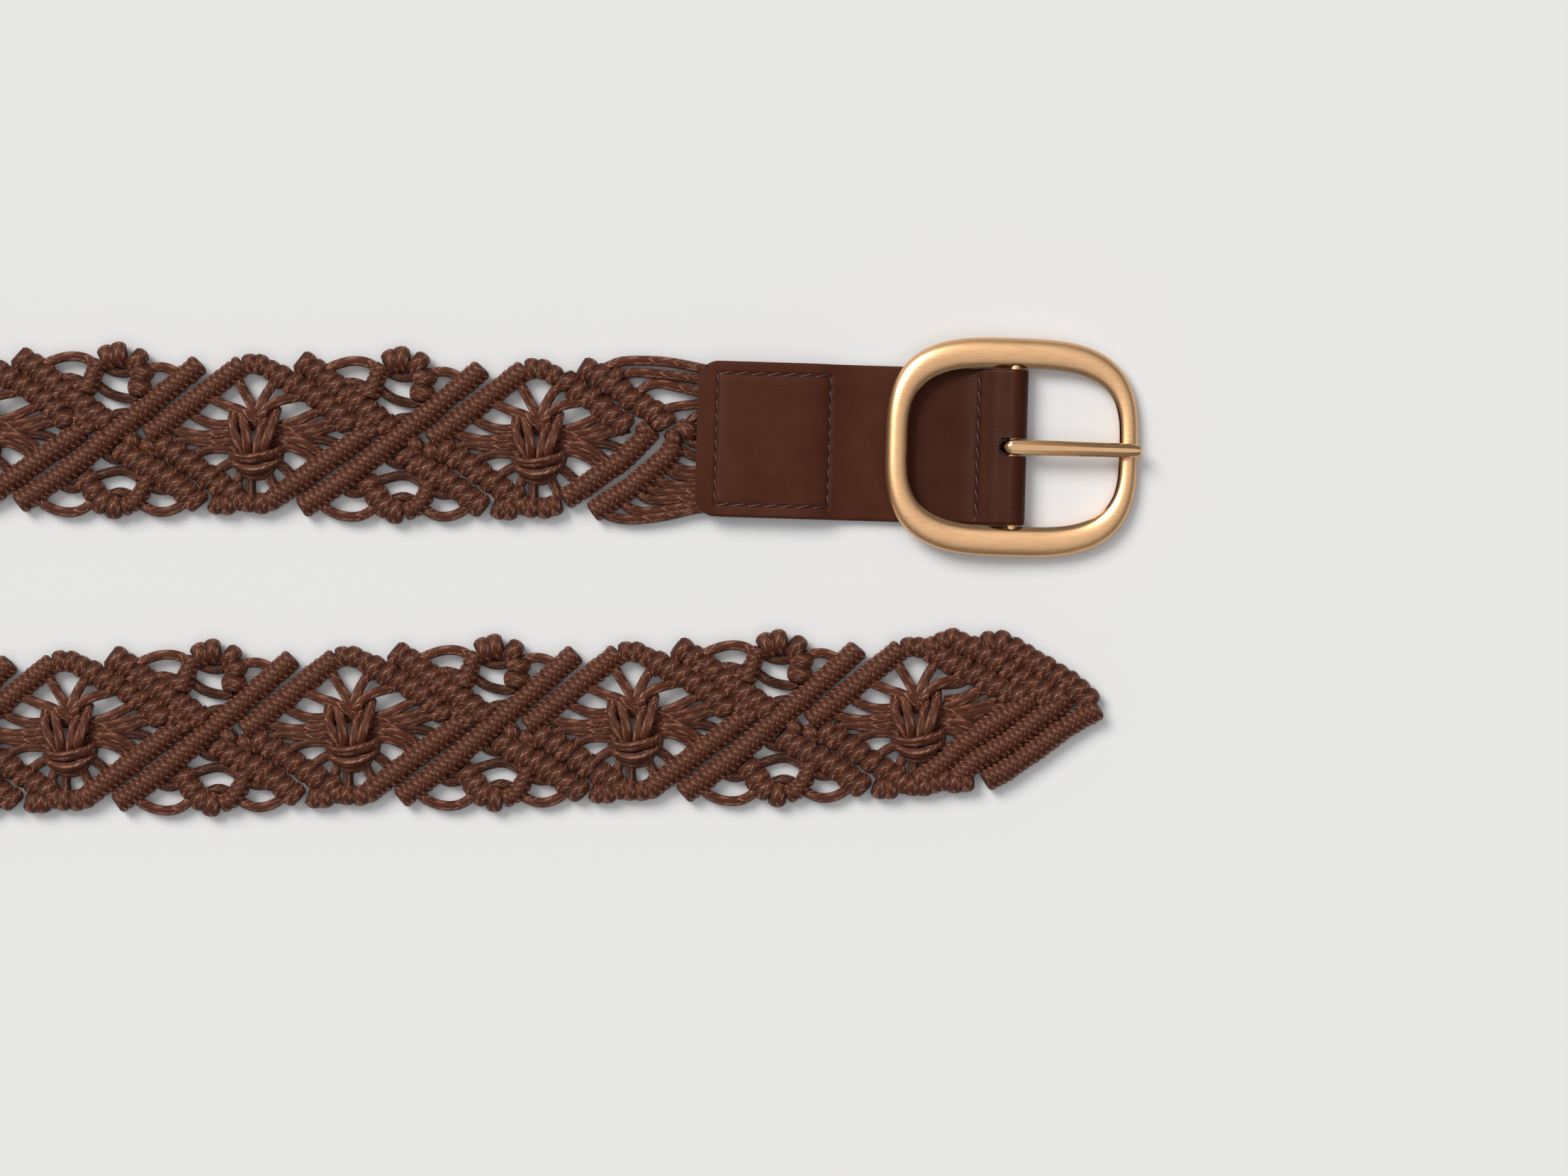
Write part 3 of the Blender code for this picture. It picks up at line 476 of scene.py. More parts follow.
for first in range(0, FLOWER_COUNT, PIECE_FLOWERS):
    dice = np.random.default_rng(40 + first)
    turns = []
    for k in range(first, first + PIECE_FLOWERS):
        turned = 1 if k < HALFWAY else -1
        groups = [(FLOWER_BEADS, flowers[k], turned)]
        if k + 1 < FLOWER_COUNT:
            groups.append((CELL_ROWS, flowers[k] + CELL_LENGTH / 2, turned))
        if k == 0:
            groups.append((BUCKLE_END_ROWS, flowers[0], 1))
        if k + 1 == FLOWER_COUNT:
            groups.append((TIP_ROWS, flowers[-1], -1))
        for rows, middle, way_up in groups:
            for kind, points in rows:
                turns += turns_on_row(laid(points, middle, way_up), kind, dice)
    source = bpy.data.meshes.new("turn_points")
    source.from_pydata([place for place, _, _ in turns], [], [])
    for name, column in (("turned", 1), ("sized", 2)):
        values = source.attributes.new(name, "FLOAT_VECTOR", "POINT")
        values.data.foreach_set("vector", np.array([tuple(turn[column]) for turn in turns]).ravel())
    columns = [2 * round(CORD_COLUMNS / 2 * size[0] / (2 * CORD_RADIUS)) for _, _, size in turns]
    source.attributes.new("columns", "FLOAT", "POINT").data.foreach_set("value", columns)
    rows_piece = through_nodes(
        f"knot_rows_{first // PIECE_FLOWERS + 1}", source, placing,
        {"Copied": one_turn, "Finish": cord_finish}, cord_finish,
    )
    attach(rows_piece, "strap")
    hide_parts("knotted_band")
bpy.data.objects.remove(one_turn)

# The single cords. They carry the rows, run between the knots, loop along both edges, make the flower-like
# square knots in the middle of each diamond, and fan out from the last rows into the leather's mouth.
CORD_SIDES = 10
CORD_STEP = 1.0 * MM
LIT_HEIGHT = 2.45 * MM
SHADE_FADE_RANGE = 1.1 * MM
KNOT_THICK = 1.32
FLOWER_THICK = 1.12
CELL_CORDS = (
    ((-6.5, 24.9, 40), (-3.0, 20.7, 34), (1.0, 18.3, 34), (5.0, 17.4, 36), (7.5, 19.1, 44)),
    ((-3.5, 34.9, 36), (-0.5, 32.8, 36), (3.5, 32.4, 36), (6.5, 35.7, 40)),
    ((-6.5, -28.2, 40), (-2.5, -26.1, 34), (1.3, -24.9, 34), (5.0, -25.7, 36), (8.5, -29.0, 44)),
    ((-1.5, -39.0, 34), (2.0, -37.3, 36), (5.5, -39.0, 36)),
    ((-27.1, 34.9, 48), (-24.1, 37.8, 50), (-21.1, 39.8, 50), (-17.3, 41.3, 52), (-13.3, 41.3, 52),
        (-10.1, 39.8, 50), (-7.5, 36.5, 50)),
    ((8.5, 34.9, 46), (11.6, 35.3, 48), (14.6, 36.1, 50), (17.6, 35.7, 50), (20.6, 33.6, 48), (23.6,
        29.9, 46)),
    ((-28.1, -38.2, 44), (-25.6, -44.4, 46), (-23.1, -46.9, 46), (-19.6, -49.0, 48), (-15.1, -49.6, 48),
        (-11.1, -47.7, 48), (-7.5, -43.2, 46)),
    ((8.5, -43.2, 44), (11.6, -46.5, 46), (15.1, -48.5, 48), (19.1, -48.1, 48), (23.1, -45.2, 46),
        (26.1, -40.7, 44)),
    ((-21.1, 27.4, 44), (-17.1, 29.0, 42), (-13.6, 27.8, 44), (-10.6, 25.7, 44)),
    ((-21.1, -29.9, 40), (-17.6, -34.9, 38), (-14.1, -35.7, 38), (-10.6, -33.2, 42)),
    ((11.1, -32.4, 40), (14.6, -35.3, 38), (18.1, -35.7, 38), (21.6, -33.2, 42)),
    ((-5.5, -12.4, 36), (-2.0, -17.4, 34), (1.5, -18.3, 34), (5.5, -16.6, 40)),
    ((-3.5, 4.1, 40), (0.0, 8.3, 36), (4.0, 9.1, 36), (7.5, 10.8, 40)),
)
KNOT_CORDS = (
    ((-7.8, 10.8, 40), (-8.3, 7.9, 78), (-8.3, 2.5, 100), (-7.3, -3.7, 104), (-5.3, -10.0, 92), (-3.5,
        -14.9, 52)),
    ((-6.0, 10.0, 40), (-5.0, 7.1, 84), (-3.9, 1.7, 112), (-3.1, -4.6, 116), (-2.8, -11.2, 96), (-2.3,
        -15.8, 50)),
    ((3.5, 8.3, 40), (2.5, 5.0, 74), (1.6, -0.8, 102), (0.8, -6.6, 106), (0.3, -12.0, 90), (0.0, -15.8,
        50)),
    ((6.8, 12.4, 40), (6.5, 8.7, 84), (5.8, 2.9, 114), (4.5, -3.3, 118), (3.5, -9.1, 104), (2.5, -14.9,
        54)),
    ((-6.5, -8.3, 24), (-8.0, -13.3, 46), (-6.0, -16.2, 84), (-2.5, -16.6, 106), (1.0, -15.8, 110),
        (4.5, -14.5, 102), (7.5, -12.4, 80), (8.3, -8.3, 30)),
    ((-7.5, -11.6, 22), (-8.3, -16.6, 40), (-6.3, -20.7, 72), (-2.5, -22.8, 90), (1.5, -22.4, 92), (5.0,
        -19.9, 82), (7.8, -16.2, 52), (7.8, -11.6, 26)),
    ((-6.0, -18.3, 24), (-3.5, -25.3, 44), (0.0, -26.6, 50), (3.5, -24.9, 44), (6.0, -18.3, 24)),
)
FLOWER_CORDS = (
    ((-20.6, 19.9, 46), (-17.1, 18.7, 50), (-13.6, 16.2, 58), (-10.1, 13.7, 68), (-6.5, 12.0, 78),
        (-3.0, 9.1, 86), (0.0, 5.4, 80), (1.5, 0.8, 50)),
    ((17.6, 24.1, 46), (14.1, 19.9, 54), (10.1, 18.3, 68), (6.5, 16.2, 80), (3.5, 12.9, 86), (1.8, 9.1,
        80), (0.5, 4.1, 56)),
    ((-9.0, 34.0, 46), (-6.5, 27.4, 48), (-4.5, 21.6, 50), (-2.5, 15.8, 52), (-0.8, 10.8, 54), (0.8,
        5.8, 48)),
    ((7.8, 32.4, 44), (5.5, 27.4, 48), (3.5, 22.4, 54), (2.0, 17.8, 60), (0.8, 13.7, 60), (0.0, 9.1,
        50)),
    ((-25.4, 12.9, 40), (-23.1, 8.7, 42), (-20.1, 5.8, 44), (-16.6, 3.7, 46), (-13.1, 2.9, 48), (-9.5,
        3.3, 50), (-6.0, 4.1, 40)),
    ((-33.2, 1.2, 38), (-29.6, -0.4, 42), (-25.6, -2.1, 46), (-21.1, -3.3, 50), (-16.6, -3.3, 54),
        (-12.1, -2.1, 56), (-7.5, -2.5, 46)),
    ((-32.4, -10.8, 36), (-28.6, -7.5, 38), (-24.6, -6.2, 42), (-20.1, -7.1, 46), (-15.1, -7.5, 48),
        (-11.1, -6.6, 48), (-6.5, -6.6, 40)),
    ((-25.6, -17.8, 36), (-22.6, -15.4, 38), (-19.6, -12.9, 40), (-15.6, -11.2, 42), (-11.1, -11.2, 44),
        (-6.0, -11.6, 36)),
    ((-17.1, -28.2, 34), (-14.3, -24.5, 38), (-11.6, -21.2, 44), (-9.0, -19.1, 44), (-5.5, -17.4, 34)),
    ((25.1, 15.8, 40), (22.1, 12.4, 42), (19.3, 10.0, 48), (16.1, 7.5, 52), (12.6, 5.0, 54), (9.0, 3.3,
        50), (5.5, 2.5, 40)),
    ((28.6, 10.4, 38), (25.4, 6.2, 42), (20.1, 3.3, 46), (14.1, 1.2, 50), (9.5, 1.2, 52), (5.5, 0.0,
        42)),
    ((31.7, 5.0, 38), (28.1, 3.3, 40), (24.6, 1.7, 42), (19.6, -1.2, 44), (13.6, -2.5, 48), (9.0, -1.7,
        48), (5.0, -1.7, 38)),
    ((25.6, -17.0, 40), (22.6, -12.9, 44), (19.3, -9.1, 52), (15.6, -6.2, 58), (12.1, -5.4, 56), (8.5,
        -6.6, 48), (5.0, -7.5, 36)),
    ((22.6, -19.9, 38), (19.6, -15.4, 40), (15.6, -11.6, 46), (11.6, -9.5, 48), (8.0, -10.4, 44), (4.5,
        -11.6, 34)),
    ((32.2, -10.0, 34), (28.6, -7.1, 34), (24.6, -5.0, 34), (20.1, -4.1, 34), (15.1, -5.0, 34), (10.1,
        -5.0, 34)),
    ((15.6, -29.0, 34), (12.6, -25.7, 36), (10.1, -22.0, 40), (7.5, -19.1, 42), (4.5, -17.4, 34)),
    ((-11.1, 0.0, 30), (-6.0, 1.7, 40), (-1.0, 2.9, 46), (3.5, 3.7, 46), (9.0, 1.7, 36)),
    ((-8.5, -36.5, 42), (-7.3, -31.5, 42), (-6.0, -26.6, 42), (-4.0, -20.7, 36)),
    ((7.5, -37.3, 42), (6.0, -31.5, 42), (4.5, -26.6, 42), (3.0, -20.7, 36)),
    ((-1.5, -39.8, 36), (-2.0, -34.0, 34), (-2.0, -27.4, 34)),
)
BUCKLE_END_CORDS = (
    ((21.9, 39.1, 46), (24.9, 41.6, 48), (28.4, 43.7, 50), (36.0, 44.5, 50), (46.0, 43.7, 48), (59.3, 39.9, 50)),
    ((25.4, 34.9, 44), (28.9, 35.8, 46), (33.0, 37.4, 48), (39.0, 37.0, 48), (48.5, 35.8, 46), (59.3, 33.3, 50)),
    ((34.0, 23.3, 44), (36.0, 27.9, 46), (38.7, 30.4, 48), (42.5, 31.2, 48), (49.0, 29.1, 46), (59.3, 25.8, 50)),
    ((39.5, 13.4, 42), (43.8, 16.3, 44), (49.0, 18.3, 46), (59.3, 20.8, 50)),
    ((52.1, 8.4, 46), (55.1, 12.5, 46), (59.3, 14.2, 50)),
    ((51.6, 5.1, 44), (55.6, 6.7, 44), (59.3, 7.6, 50)),
    ((51.1, 0.1, 42), (55.1, -3.2, 42), (59.3, -4.1, 50)),
    ((47.0, -6.6, 42), (51.1, -8.2, 42), (55.1, -10.7, 42), (59.3, -11.5, 50)),
    ((45.0, -11.5, 44), (48.0, -16.5, 44), (52.1, -19.0, 42), (59.3, -19.0, 50)),
    ((43.0, -14.9, 42), (45.5, -19.0, 40), (50.1, -22.3, 40), (59.3, -23.2, 50)),
    ((40.0, -19.8, 44), (43.0, -25.2, 44), (47.5, -28.1, 44), (59.3, -27.3, 50)),
    ((36.5, -25.6, 42), (40.0, -30.6, 42), (46.0, -32.3, 44), (59.3, -31.0, 50)),
    ((34.0, -29.8, 44), (37.5, -35.6, 44), (43.5, -36.8, 44), (51.1, -35.6, 46), (59.3, -33.9, 50)),
    ((28.4, -36.4, 44), (32.0, -41.8, 44), (38.5, -43.9, 46), (48.5, -41.4, 46), (59.3, -37.7, 50)),
    ((21.4, -42.2, 44), (25.4, -46.8, 44), (32.5, -48.5, 46), (43.5, -46.4, 48), (53.6, -42.2, 48), (59.3, -40.2, 50)),
)
TIP_CORDS = (
    ((8.0, 16.2, 44), (14.3, 17.0, 44), (19.8, 20.3, 44), (24.9, 17.4, 44)),
    ((9.3, 7.1, 44), (15.8, 8.7, 44), (21.9, 12.9, 44), (27.4, 12.0, 44)),
    ((9.3, -2.1, 44), (16.8, -0.4, 44), (23.1, 1.7, 44), (29.4, -0.4, 44)),
    ((7.3, -8.7, 44), (13.1, -11.2, 44), (17.3, -13.7, 44), (21.9, -12.0, 44)),
)


def make_cord_tree():
    """Turns lines into round cord, smooth between their points, with its length and turn stored as UVs."""
    tree = bpy.data.node_groups.new("cord_from_lines", "GeometryNodeTree")
    group_socket(tree, "Lines", "NodeSocketGeometry")
    group_socket(tree, "Cord Radius", "NodeSocketFloat")
    group_socket(tree, "Sides", "NodeSocketInt")
    group_socket(tree, "Step", "NodeSocketFloat")
    group_socket(tree, "Finish", "NodeSocketMaterial")
    group_socket(tree, "Geometry", "NodeSocketGeometry", "OUTPUT")
    nodes, links = tree.nodes, tree.links
    given = nodes.new("NodeGroupInput")
    result = nodes.new("NodeGroupOutput")
    to_curve = nodes.new("GeometryNodeMeshToCurve")
    links.new(given.outputs["Lines"], to_curve.inputs[0])
    kind = nodes.new("GeometryNodeCurveSplineType")
    kind.spline_type = "CATMULL_ROM"
    links.new(to_curve.outputs[0], kind.inputs["Curve"])
    even = nodes.new("GeometryNodeResampleCurve")
    even.mode = "LENGTH"
    links.new(kind.outputs[0], even.inputs["Curve"])
    links.new(given.outputs["Step"], even.inputs["Length"])
    along = nodes.new("GeometryNodeSplineParameter")
    stored_length = nodes.new("GeometryNodeStoreNamedAttribute")
    stored_length.data_type = "FLOAT"
    stored_length.inputs["Name"].default_value = "cord_length"
    links.new(even.outputs[0], stored_length.inputs["Geometry"])
    links.new(along.outputs["Length"], stored_length.inputs["Value"])
    circle = nodes.new("GeometryNodeCurvePrimitiveCircle")
    links.new(given.outputs["Sides"], circle.inputs["Resolution"])
    links.new(given.outputs["Cord Radius"], circle.inputs["Radius"])
    round_it = nodes.new("GeometryNodeSplineParameter")
    stored_turn = nodes.new("GeometryNodeStoreNamedAttribute")
    stored_turn.data_type = "FLOAT"
    stored_turn.inputs["Name"].default_value = "cord_turn"
    links.new(circle.outputs[0], stored_turn.inputs["Geometry"])
    links.new(round_it.outputs["Factor"], stored_turn.inputs["Value"])
    tube = nodes.new("GeometryNodeCurveToMesh")
    tube.inputs["Fill Caps"].default_value = True
    links.new(stored_length.outputs[0], tube.inputs["Curve"])
    links.new(stored_turn.outputs[0], tube.inputs["Profile Curve"])
    uv = nodes.new("ShaderNodeCombineXYZ")
    for name, axis in (("cord_length", "X"), ("cord_turn", "Y")):
        read = nodes.new("GeometryNodeInputNamedAttribute")
        read.data_type = "FLOAT"
        read.inputs["Name"].default_value = name
        links.new(read.outputs["Attribute"], uv.inputs[axis])
    stored_uv = nodes.new("GeometryNodeStoreNamedAttribute")
    stored_uv.data_type = "FLOAT2"
    stored_uv.domain = "CORNER"
    stored_uv.inputs["Name"].default_value = "UVMap"
    links.new(tube.outputs[0], stored_uv.inputs["Geometry"])
    links.new(uv.outputs[0], stored_uv.inputs["Value"])
    soft = nodes.new("GeometryNodeSetShadeSmooth")
    links.new(stored_uv.outputs[0], soft.inputs["Geometry"])
    real = nodes.new("GeometryNodeRealizeInstances")
    links.new(soft.outputs[0], real.inputs[0])
    finish = nodes.new("GeometryNodeSetMaterial")
    links.new(real.outputs[0], finish.inputs["Geometry"])
    links.new(given.outputs["Finish"], finish.inputs["Material"])
    links.new(finish.outputs[0], result.inputs[0])
    return tree


def lines_mesh(lines):
    """Lines of points, each with its cord's thickness, as one mesh of edges."""
    points, edges, radii = [], [], []
    for line, thick in lines:
        start = len(points)
        points += [(x, y, max(z, thick * CORD_RADIUS)) for x, y, z in line]
        edges += [(start + k, start + k + 1) for k in range(len(line) - 1)]
        radii += [thick] * len(line)
    mesh = bpy.data.meshes.new("lines")
    mesh.from_pydata(points, edges, [])
    mesh.attributes.new("radius", "FLOAT", "POINT").data.foreach_set("value", radii)
    # Cords lying lower than LIT_HEIGHT carry painted shade, growing to full over a set range of height below it.
    painted_shade = [min(max((LIT_HEIGHT - point[2]) / SHADE_FADE_RANGE, 0), 1) for point in points]
    mesh.attributes.new("painted_shade", "FLOAT", "POINT").data.foreach_set("value", painted_shade)
    return mesh


cord_tree = make_cord_tree()
PIECE_CELLS = 4
for first in range(0, FLOWER_COUNT, PIECE_CELLS):
    lines = []
    for k in range(first, first + PIECE_CELLS):
        turned = 1 if k < HALFWAY else -1
        groups = [(KNOT_CORDS, flowers[k], turned, KNOT_THICK), (FLOWER_CORDS, flowers[k], turned, FLOWER_THICK)]
        if k + 1 < FLOWER_COUNT:
            core = tuple(points for _, points in CELL_ROWS)
            groups.append((CELL_CORDS + core, flowers[k] + CELL_LENGTH / 2, turned, 1))
        if k == 0:
            core = tuple(points for _, points in BUCKLE_END_ROWS)
            groups.append((BUCKLE_END_CORDS + core, flowers[0], 1, 1))
        if k + 1 == FLOWER_COUNT:
            core = tuple(points for _, points in TIP_ROWS)
            groups.append((TIP_CORDS + core, flowers[-1], -1, 1))
        for cords, middle, way_up, thick in groups:
            for points in cords:
                lines.append(([tuple(on_table(*point)) for point in laid(points, middle, way_up)], thick))
    cords_piece = through_nodes(
        f"single_cords_{first // PIECE_CELLS + 1}", lines_mesh(lines), cord_tree,
        {"Cord Radius": CORD_RADIUS, "Sides": CORD_SIDES, "Step": CORD_STEP, "Finish": cord_finish}, cord_finish,
    )
    for attribute in ("cord_length", "cord_turn"):
        cords_piece.data.attributes.remove(cords_piece.data.attributes[attribute])
    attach(cords_piece, "strap")
    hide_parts("knotted_band")

# The leather tab. One strap of brown leather is folded round the buckle's bar and sewn down. Its other end is
# split into two layers with the cords' ends between them, padded, and sewn round in a box.
TAB_WIDTH = 40.0 * MM
TAB_CORNER = 4.6 * MM
STRAP_THICKNESS = 2.8 * MM
PADDED_THICKNESS = 5.2 * MM
BAR_HEIGHT = 3.6 * MM
BORE_RADIUS = 2.0 * MM
FOLD_RADIUS = 3.4 * MM
EDGE_RADIUS = 0.75 * MM
SLOT_FLOOR = 1.05 * MM
SLOT_HEIGHT = 2.9 * MM
SLOT_DEPTH = 6.3 * MM
SLOT_HALF = 17.9 * MM
NOTCH_HALF = 2.3 * MM
NOTCH_REACH = 0.5 * MM
NOTCH_CORNER = 1.3 * MM
BOX_LEFT, BOX_RIGHT, BOX_HALF = -76.2 * MM, -47.2 * MM, 16.9 * MM
SEAM_PLACE, SEAM_HALF = -9.1 * MM, 18.0 * MM
SEAM_WIDTH = 0.42 * MM
SEAM_DEPTH = 0.38 * MM
PUFF = 0.16 * MM
in_tab = Matrix.Translation((bar.x, bar.y, 0)) @ Matrix.Rotation(-tab_tilt, 4, "Z")

# Top of the strap from the mouth to the fold, as (place from the bar's axis, height), in millimetres.
TAB_TOP = (
    (-80.1, 5.2), (-60.0, 5.2), (-53.0, 5.2), (-49.6, 4.8), (-47.0, 3.9), (-43.6, 3.05), (-39.0, 2.8), (-24.0, 2.8),
    (-14.0, 2.8), (-10.4, 3.3), (-7.4, 4.6), (-4.6, 6.05),
)


def arc(centre, radius, start, end, steps):
    """Points (x, 0, z) of an arc, from one angle to another."""
    angles = [math.radians(start + (end - start) * k / steps) for k in range(steps + 1)]
    return [(centre[0] + radius * math.cos(a), 0, centre[1] + radius * math.sin(a)) for a in angles]


def tab_profile():
    """The tab's outline seen from its side, with points close together where it bends or is sewn."""
    corner = EDGE_RADIUS
    path = arc((-TAB_LENGTH + corner, corner), corner, 270, 180, 5)
    path += arc((-TAB_LENGTH + corner, PADDED_THICKNESS - corner), corner, 180, 90, 5)[:-1]
    path += [(x * MM, 0, z * MM) for x, z in TAB_TOP]
    path += arc((0, BAR_HEIGHT), FOLD_RADIUS, 112, -105, 24)
    path += [(-1.8 * FOLD_RADIUS, 0, 0)]
    dense = smooth_line(path, 0.1 * MM)
    chosen = [dense[0]]
    for point in dense[1:]:
        near_seam = min(abs(point[0] - place) for place in (BOX_LEFT, BOX_RIGHT, SEAM_PLACE)) < 1.1 * MM
        near_end = point[0] < -TAB_LENGTH + 2 * corner or point[0] > -6 * MM
        wanted = (0.26 if near_seam and point[2] > MM else 0.4 if near_end else 0.95) * MM
        if np.linalg.norm(point - chosen[-1]) >= wanted:
            chosen.append(point)
    while chosen[-1][0] > -TAB_LENGTH + 3 * MM:
        chosen.append(chosen[-1] - np.array((3 * MM, 0, 0)))
        chosen[-1][2] = 0
    return [(point[0], max(point[2], 0)) for point in chosen]


def across_stations():
    """Places across the strap, close together at its edges and at the box's seams."""
    half = TAB_WIDTH / 2
    places = [0.0]
    while places[-1] < half - 1e-6:
        near_seam = abs(places[-1] + 0.2 * MM - BOX_HALF) < 1.1 * MM
        step = 0.26 if near_seam else 0.2 if places[-1] > half - 1.2 * MM else 0.95
        places.append(min(places[-1] + step * MM, half))
    return [-place for place in reversed(places[1:])] + places


def sewn_dip(x, y):
    """How far the leather is pulled down by the seams, less how far its padding puffs up between them."""
    middle, half_long = (BOX_LEFT + BOX_RIGHT) / 2, (BOX_RIGHT - BOX_LEFT) / 2
    over_x, over_y = abs(x - middle) - half_long, abs(y) - BOX_HALF
    outside = math.hypot(max(over_x, 0), max(over_y, 0))
    to_box = outside if outside > 0 else -max(over_x, over_y)
    dip = SEAM_DEPTH * math.exp(-((to_box / SEAM_WIDTH) ** 2)) - PUFF * (1 - math.exp(-((to_box / (2.2 * MM)) ** 2)))
    if x > BOX_RIGHT:
        dip = SEAM_DEPTH * math.exp(-((to_box / SEAM_WIDTH) ** 2))
    if abs(y) < SEAM_HALF:
        dip += SEAM_DEPTH * math.exp(-(((x - SEAM_PLACE) / SEAM_WIDTH) ** 2))
    return dip


def make_tab_mesh():
    profile = tab_profile()
    stations = across_stations()
    count = len(profile)
    work = bmesh.new()
    rings = []
    for y in stations:
        edge = TAB_WIDTH / 2 - abs(y)
        inset = EDGE_RADIUS - math.sqrt(EDGE_RADIUS ** 2 - max(EDGE_RADIUS - edge, 0) ** 2)
        ring = []
        for k, (x, z) in enumerate(profile):
            before, after = profile[k - 1], profile[(k + 1) % count]
            way = Vector((after[0] - before[0], after[1] - before[1])).normalized()
            normal = Vector((-way.y, way.x))
            if normal.y > 0.5 and x < SEAM_PLACE + 3 * MM:
                z -= sewn_dip(x, y)
            x, z = x - normal.x * inset, z - normal.y * inset
            from_end, from_side = x + TAB_LENGTH - TAB_CORNER, abs(y) - TAB_WIDTH / 2 + TAB_CORNER
            across = abs(y)
            if from_end < 0 and from_side > 0:
                u, v = -from_end / TAB_CORNER, from_side / TAB_CORNER
                x = -TAB_LENGTH + TAB_CORNER - TAB_CORNER * u * math.sqrt(1 - v * v / 2)
                across = TAB_WIDTH / 2 - TAB_CORNER + TAB_CORNER * v * math.sqrt(1 - u * u / 2)
            ring.append(work.verts.new((x, math.copysign(across, y), z)))
        rings.append(ring)
    for ring, following in zip(rings, rings[1:]):
        for k in range(count):
            after = (k + 1) % count
            work.faces.new((ring[k], following[k], following[after], ring[after]))
    work.faces.new(rings[0])
    work.faces.new(list(reversed(rings[-1])))
    bmesh.ops.recalc_face_normals(work, faces=work.faces)
    mesh = bpy.data.meshes.new("leather_tab_shell")
    work.to_mesh(mesh)
    work.free()
    return mesh


def block(name, low, high):
    """A plain box to cut with."""
    work = bmesh.new()
    bmesh.ops.create_cube(work, size=1)
    size = [top - bottom for bottom, top in zip(low, high)]
    middle = [(top + bottom) / 2 for bottom, top in zip(low, high)]
    bmesh.ops.scale(work, vec=size, verts=work.verts)
    bmesh.ops.translate(work, vec=middle, verts=work.verts)
    mesh = bpy.data.meshes.new(name)
    work.to_mesh(mesh)
    work.free()
    return mesh


def rod(name, radius, half_length, sides):
    """A round rod along Y."""
    work = bmesh.new()
    bmesh.ops.create_cone(
        work, cap_ends=True, segments=sides, radius1=radius, radius2=radius, depth=2 * half_length,
        matrix=Matrix.Rotation(math.pi / 2, 4, "X"),
    )
    mesh = bpy.data.meshes.new(name)
    work.to_mesh(mesh)
    work.free()
    return mesh


def notch_cutter():
    """A prism to cut the notch for the prong, with its two inner corners rounded."""
    left, right = -FOLD_RADIUS - NOTCH_REACH, FOLD_RADIUS + NOTCH_HALF
    inner, corner = left + NOTCH_CORNER, NOTCH_HALF - NOTCH_CORNER
    outline = [(right, -NOTCH_HALF), (right, NOTCH_HALF)]
    for middle, start in ((corner, 90), (-corner, 180)):
        outline += [(x, middle + z) for x, _, z in arc((inner, 0), NOTCH_CORNER, start, start + 90, 6)]
    work = bmesh.new()
    low = [work.verts.new((x, y, -NOTCH_HALF)) for x, y in outline]
    high = [work.verts.new((x, y, 3 * FOLD_RADIUS)) for x, y in outline]
    work.faces.new(low)
    work.faces.new(high)
    for k in range(len(outline)):
        work.faces.new((low[k - 1], low[k], high[k], high[k - 1]))
    bmesh.ops.recalc_face_normals(work, faces=work.faces)
    mesh = bpy.data.meshes.new("notch")
    work.to_mesh(mesh)
    work.free()
    return mesh


def joined(name, mesh, others, operation, place, material, sharp=42):
    """The mesh with the others cut from it or joined to it, put in its place and given its material."""
    piece = bpy.data.objects.new(name, mesh)
    bpy.context.scene.collection.objects.link(piece)
    tools = []
    for other in others:
        tool = bpy.data.objects.new("tool", other)
        bpy.context.scene.collection.objects.link(tool)
        tools.append(tool)
        step = piece.modifiers.new("step", "BOOLEAN")
        step.operation = operation
        step.solver = "EXACT"
        step.object = tool
    bpy.context.view_layer.update()
    made = bpy.data.meshes.new_from_object(piece.evaluated_get(bpy.context.evaluated_depsgraph_get()))
    piece.modifiers.clear()
    for tool in tools:
        bpy.data.objects.remove(tool)
    made.transform(place)
    made.shade_smooth()
    made.set_sharp_from_angle(angle=math.radians(sharp))
    made.materials.clear()
    made.materials.append(material)
    made.name = name
    piece.data = made
    return piece


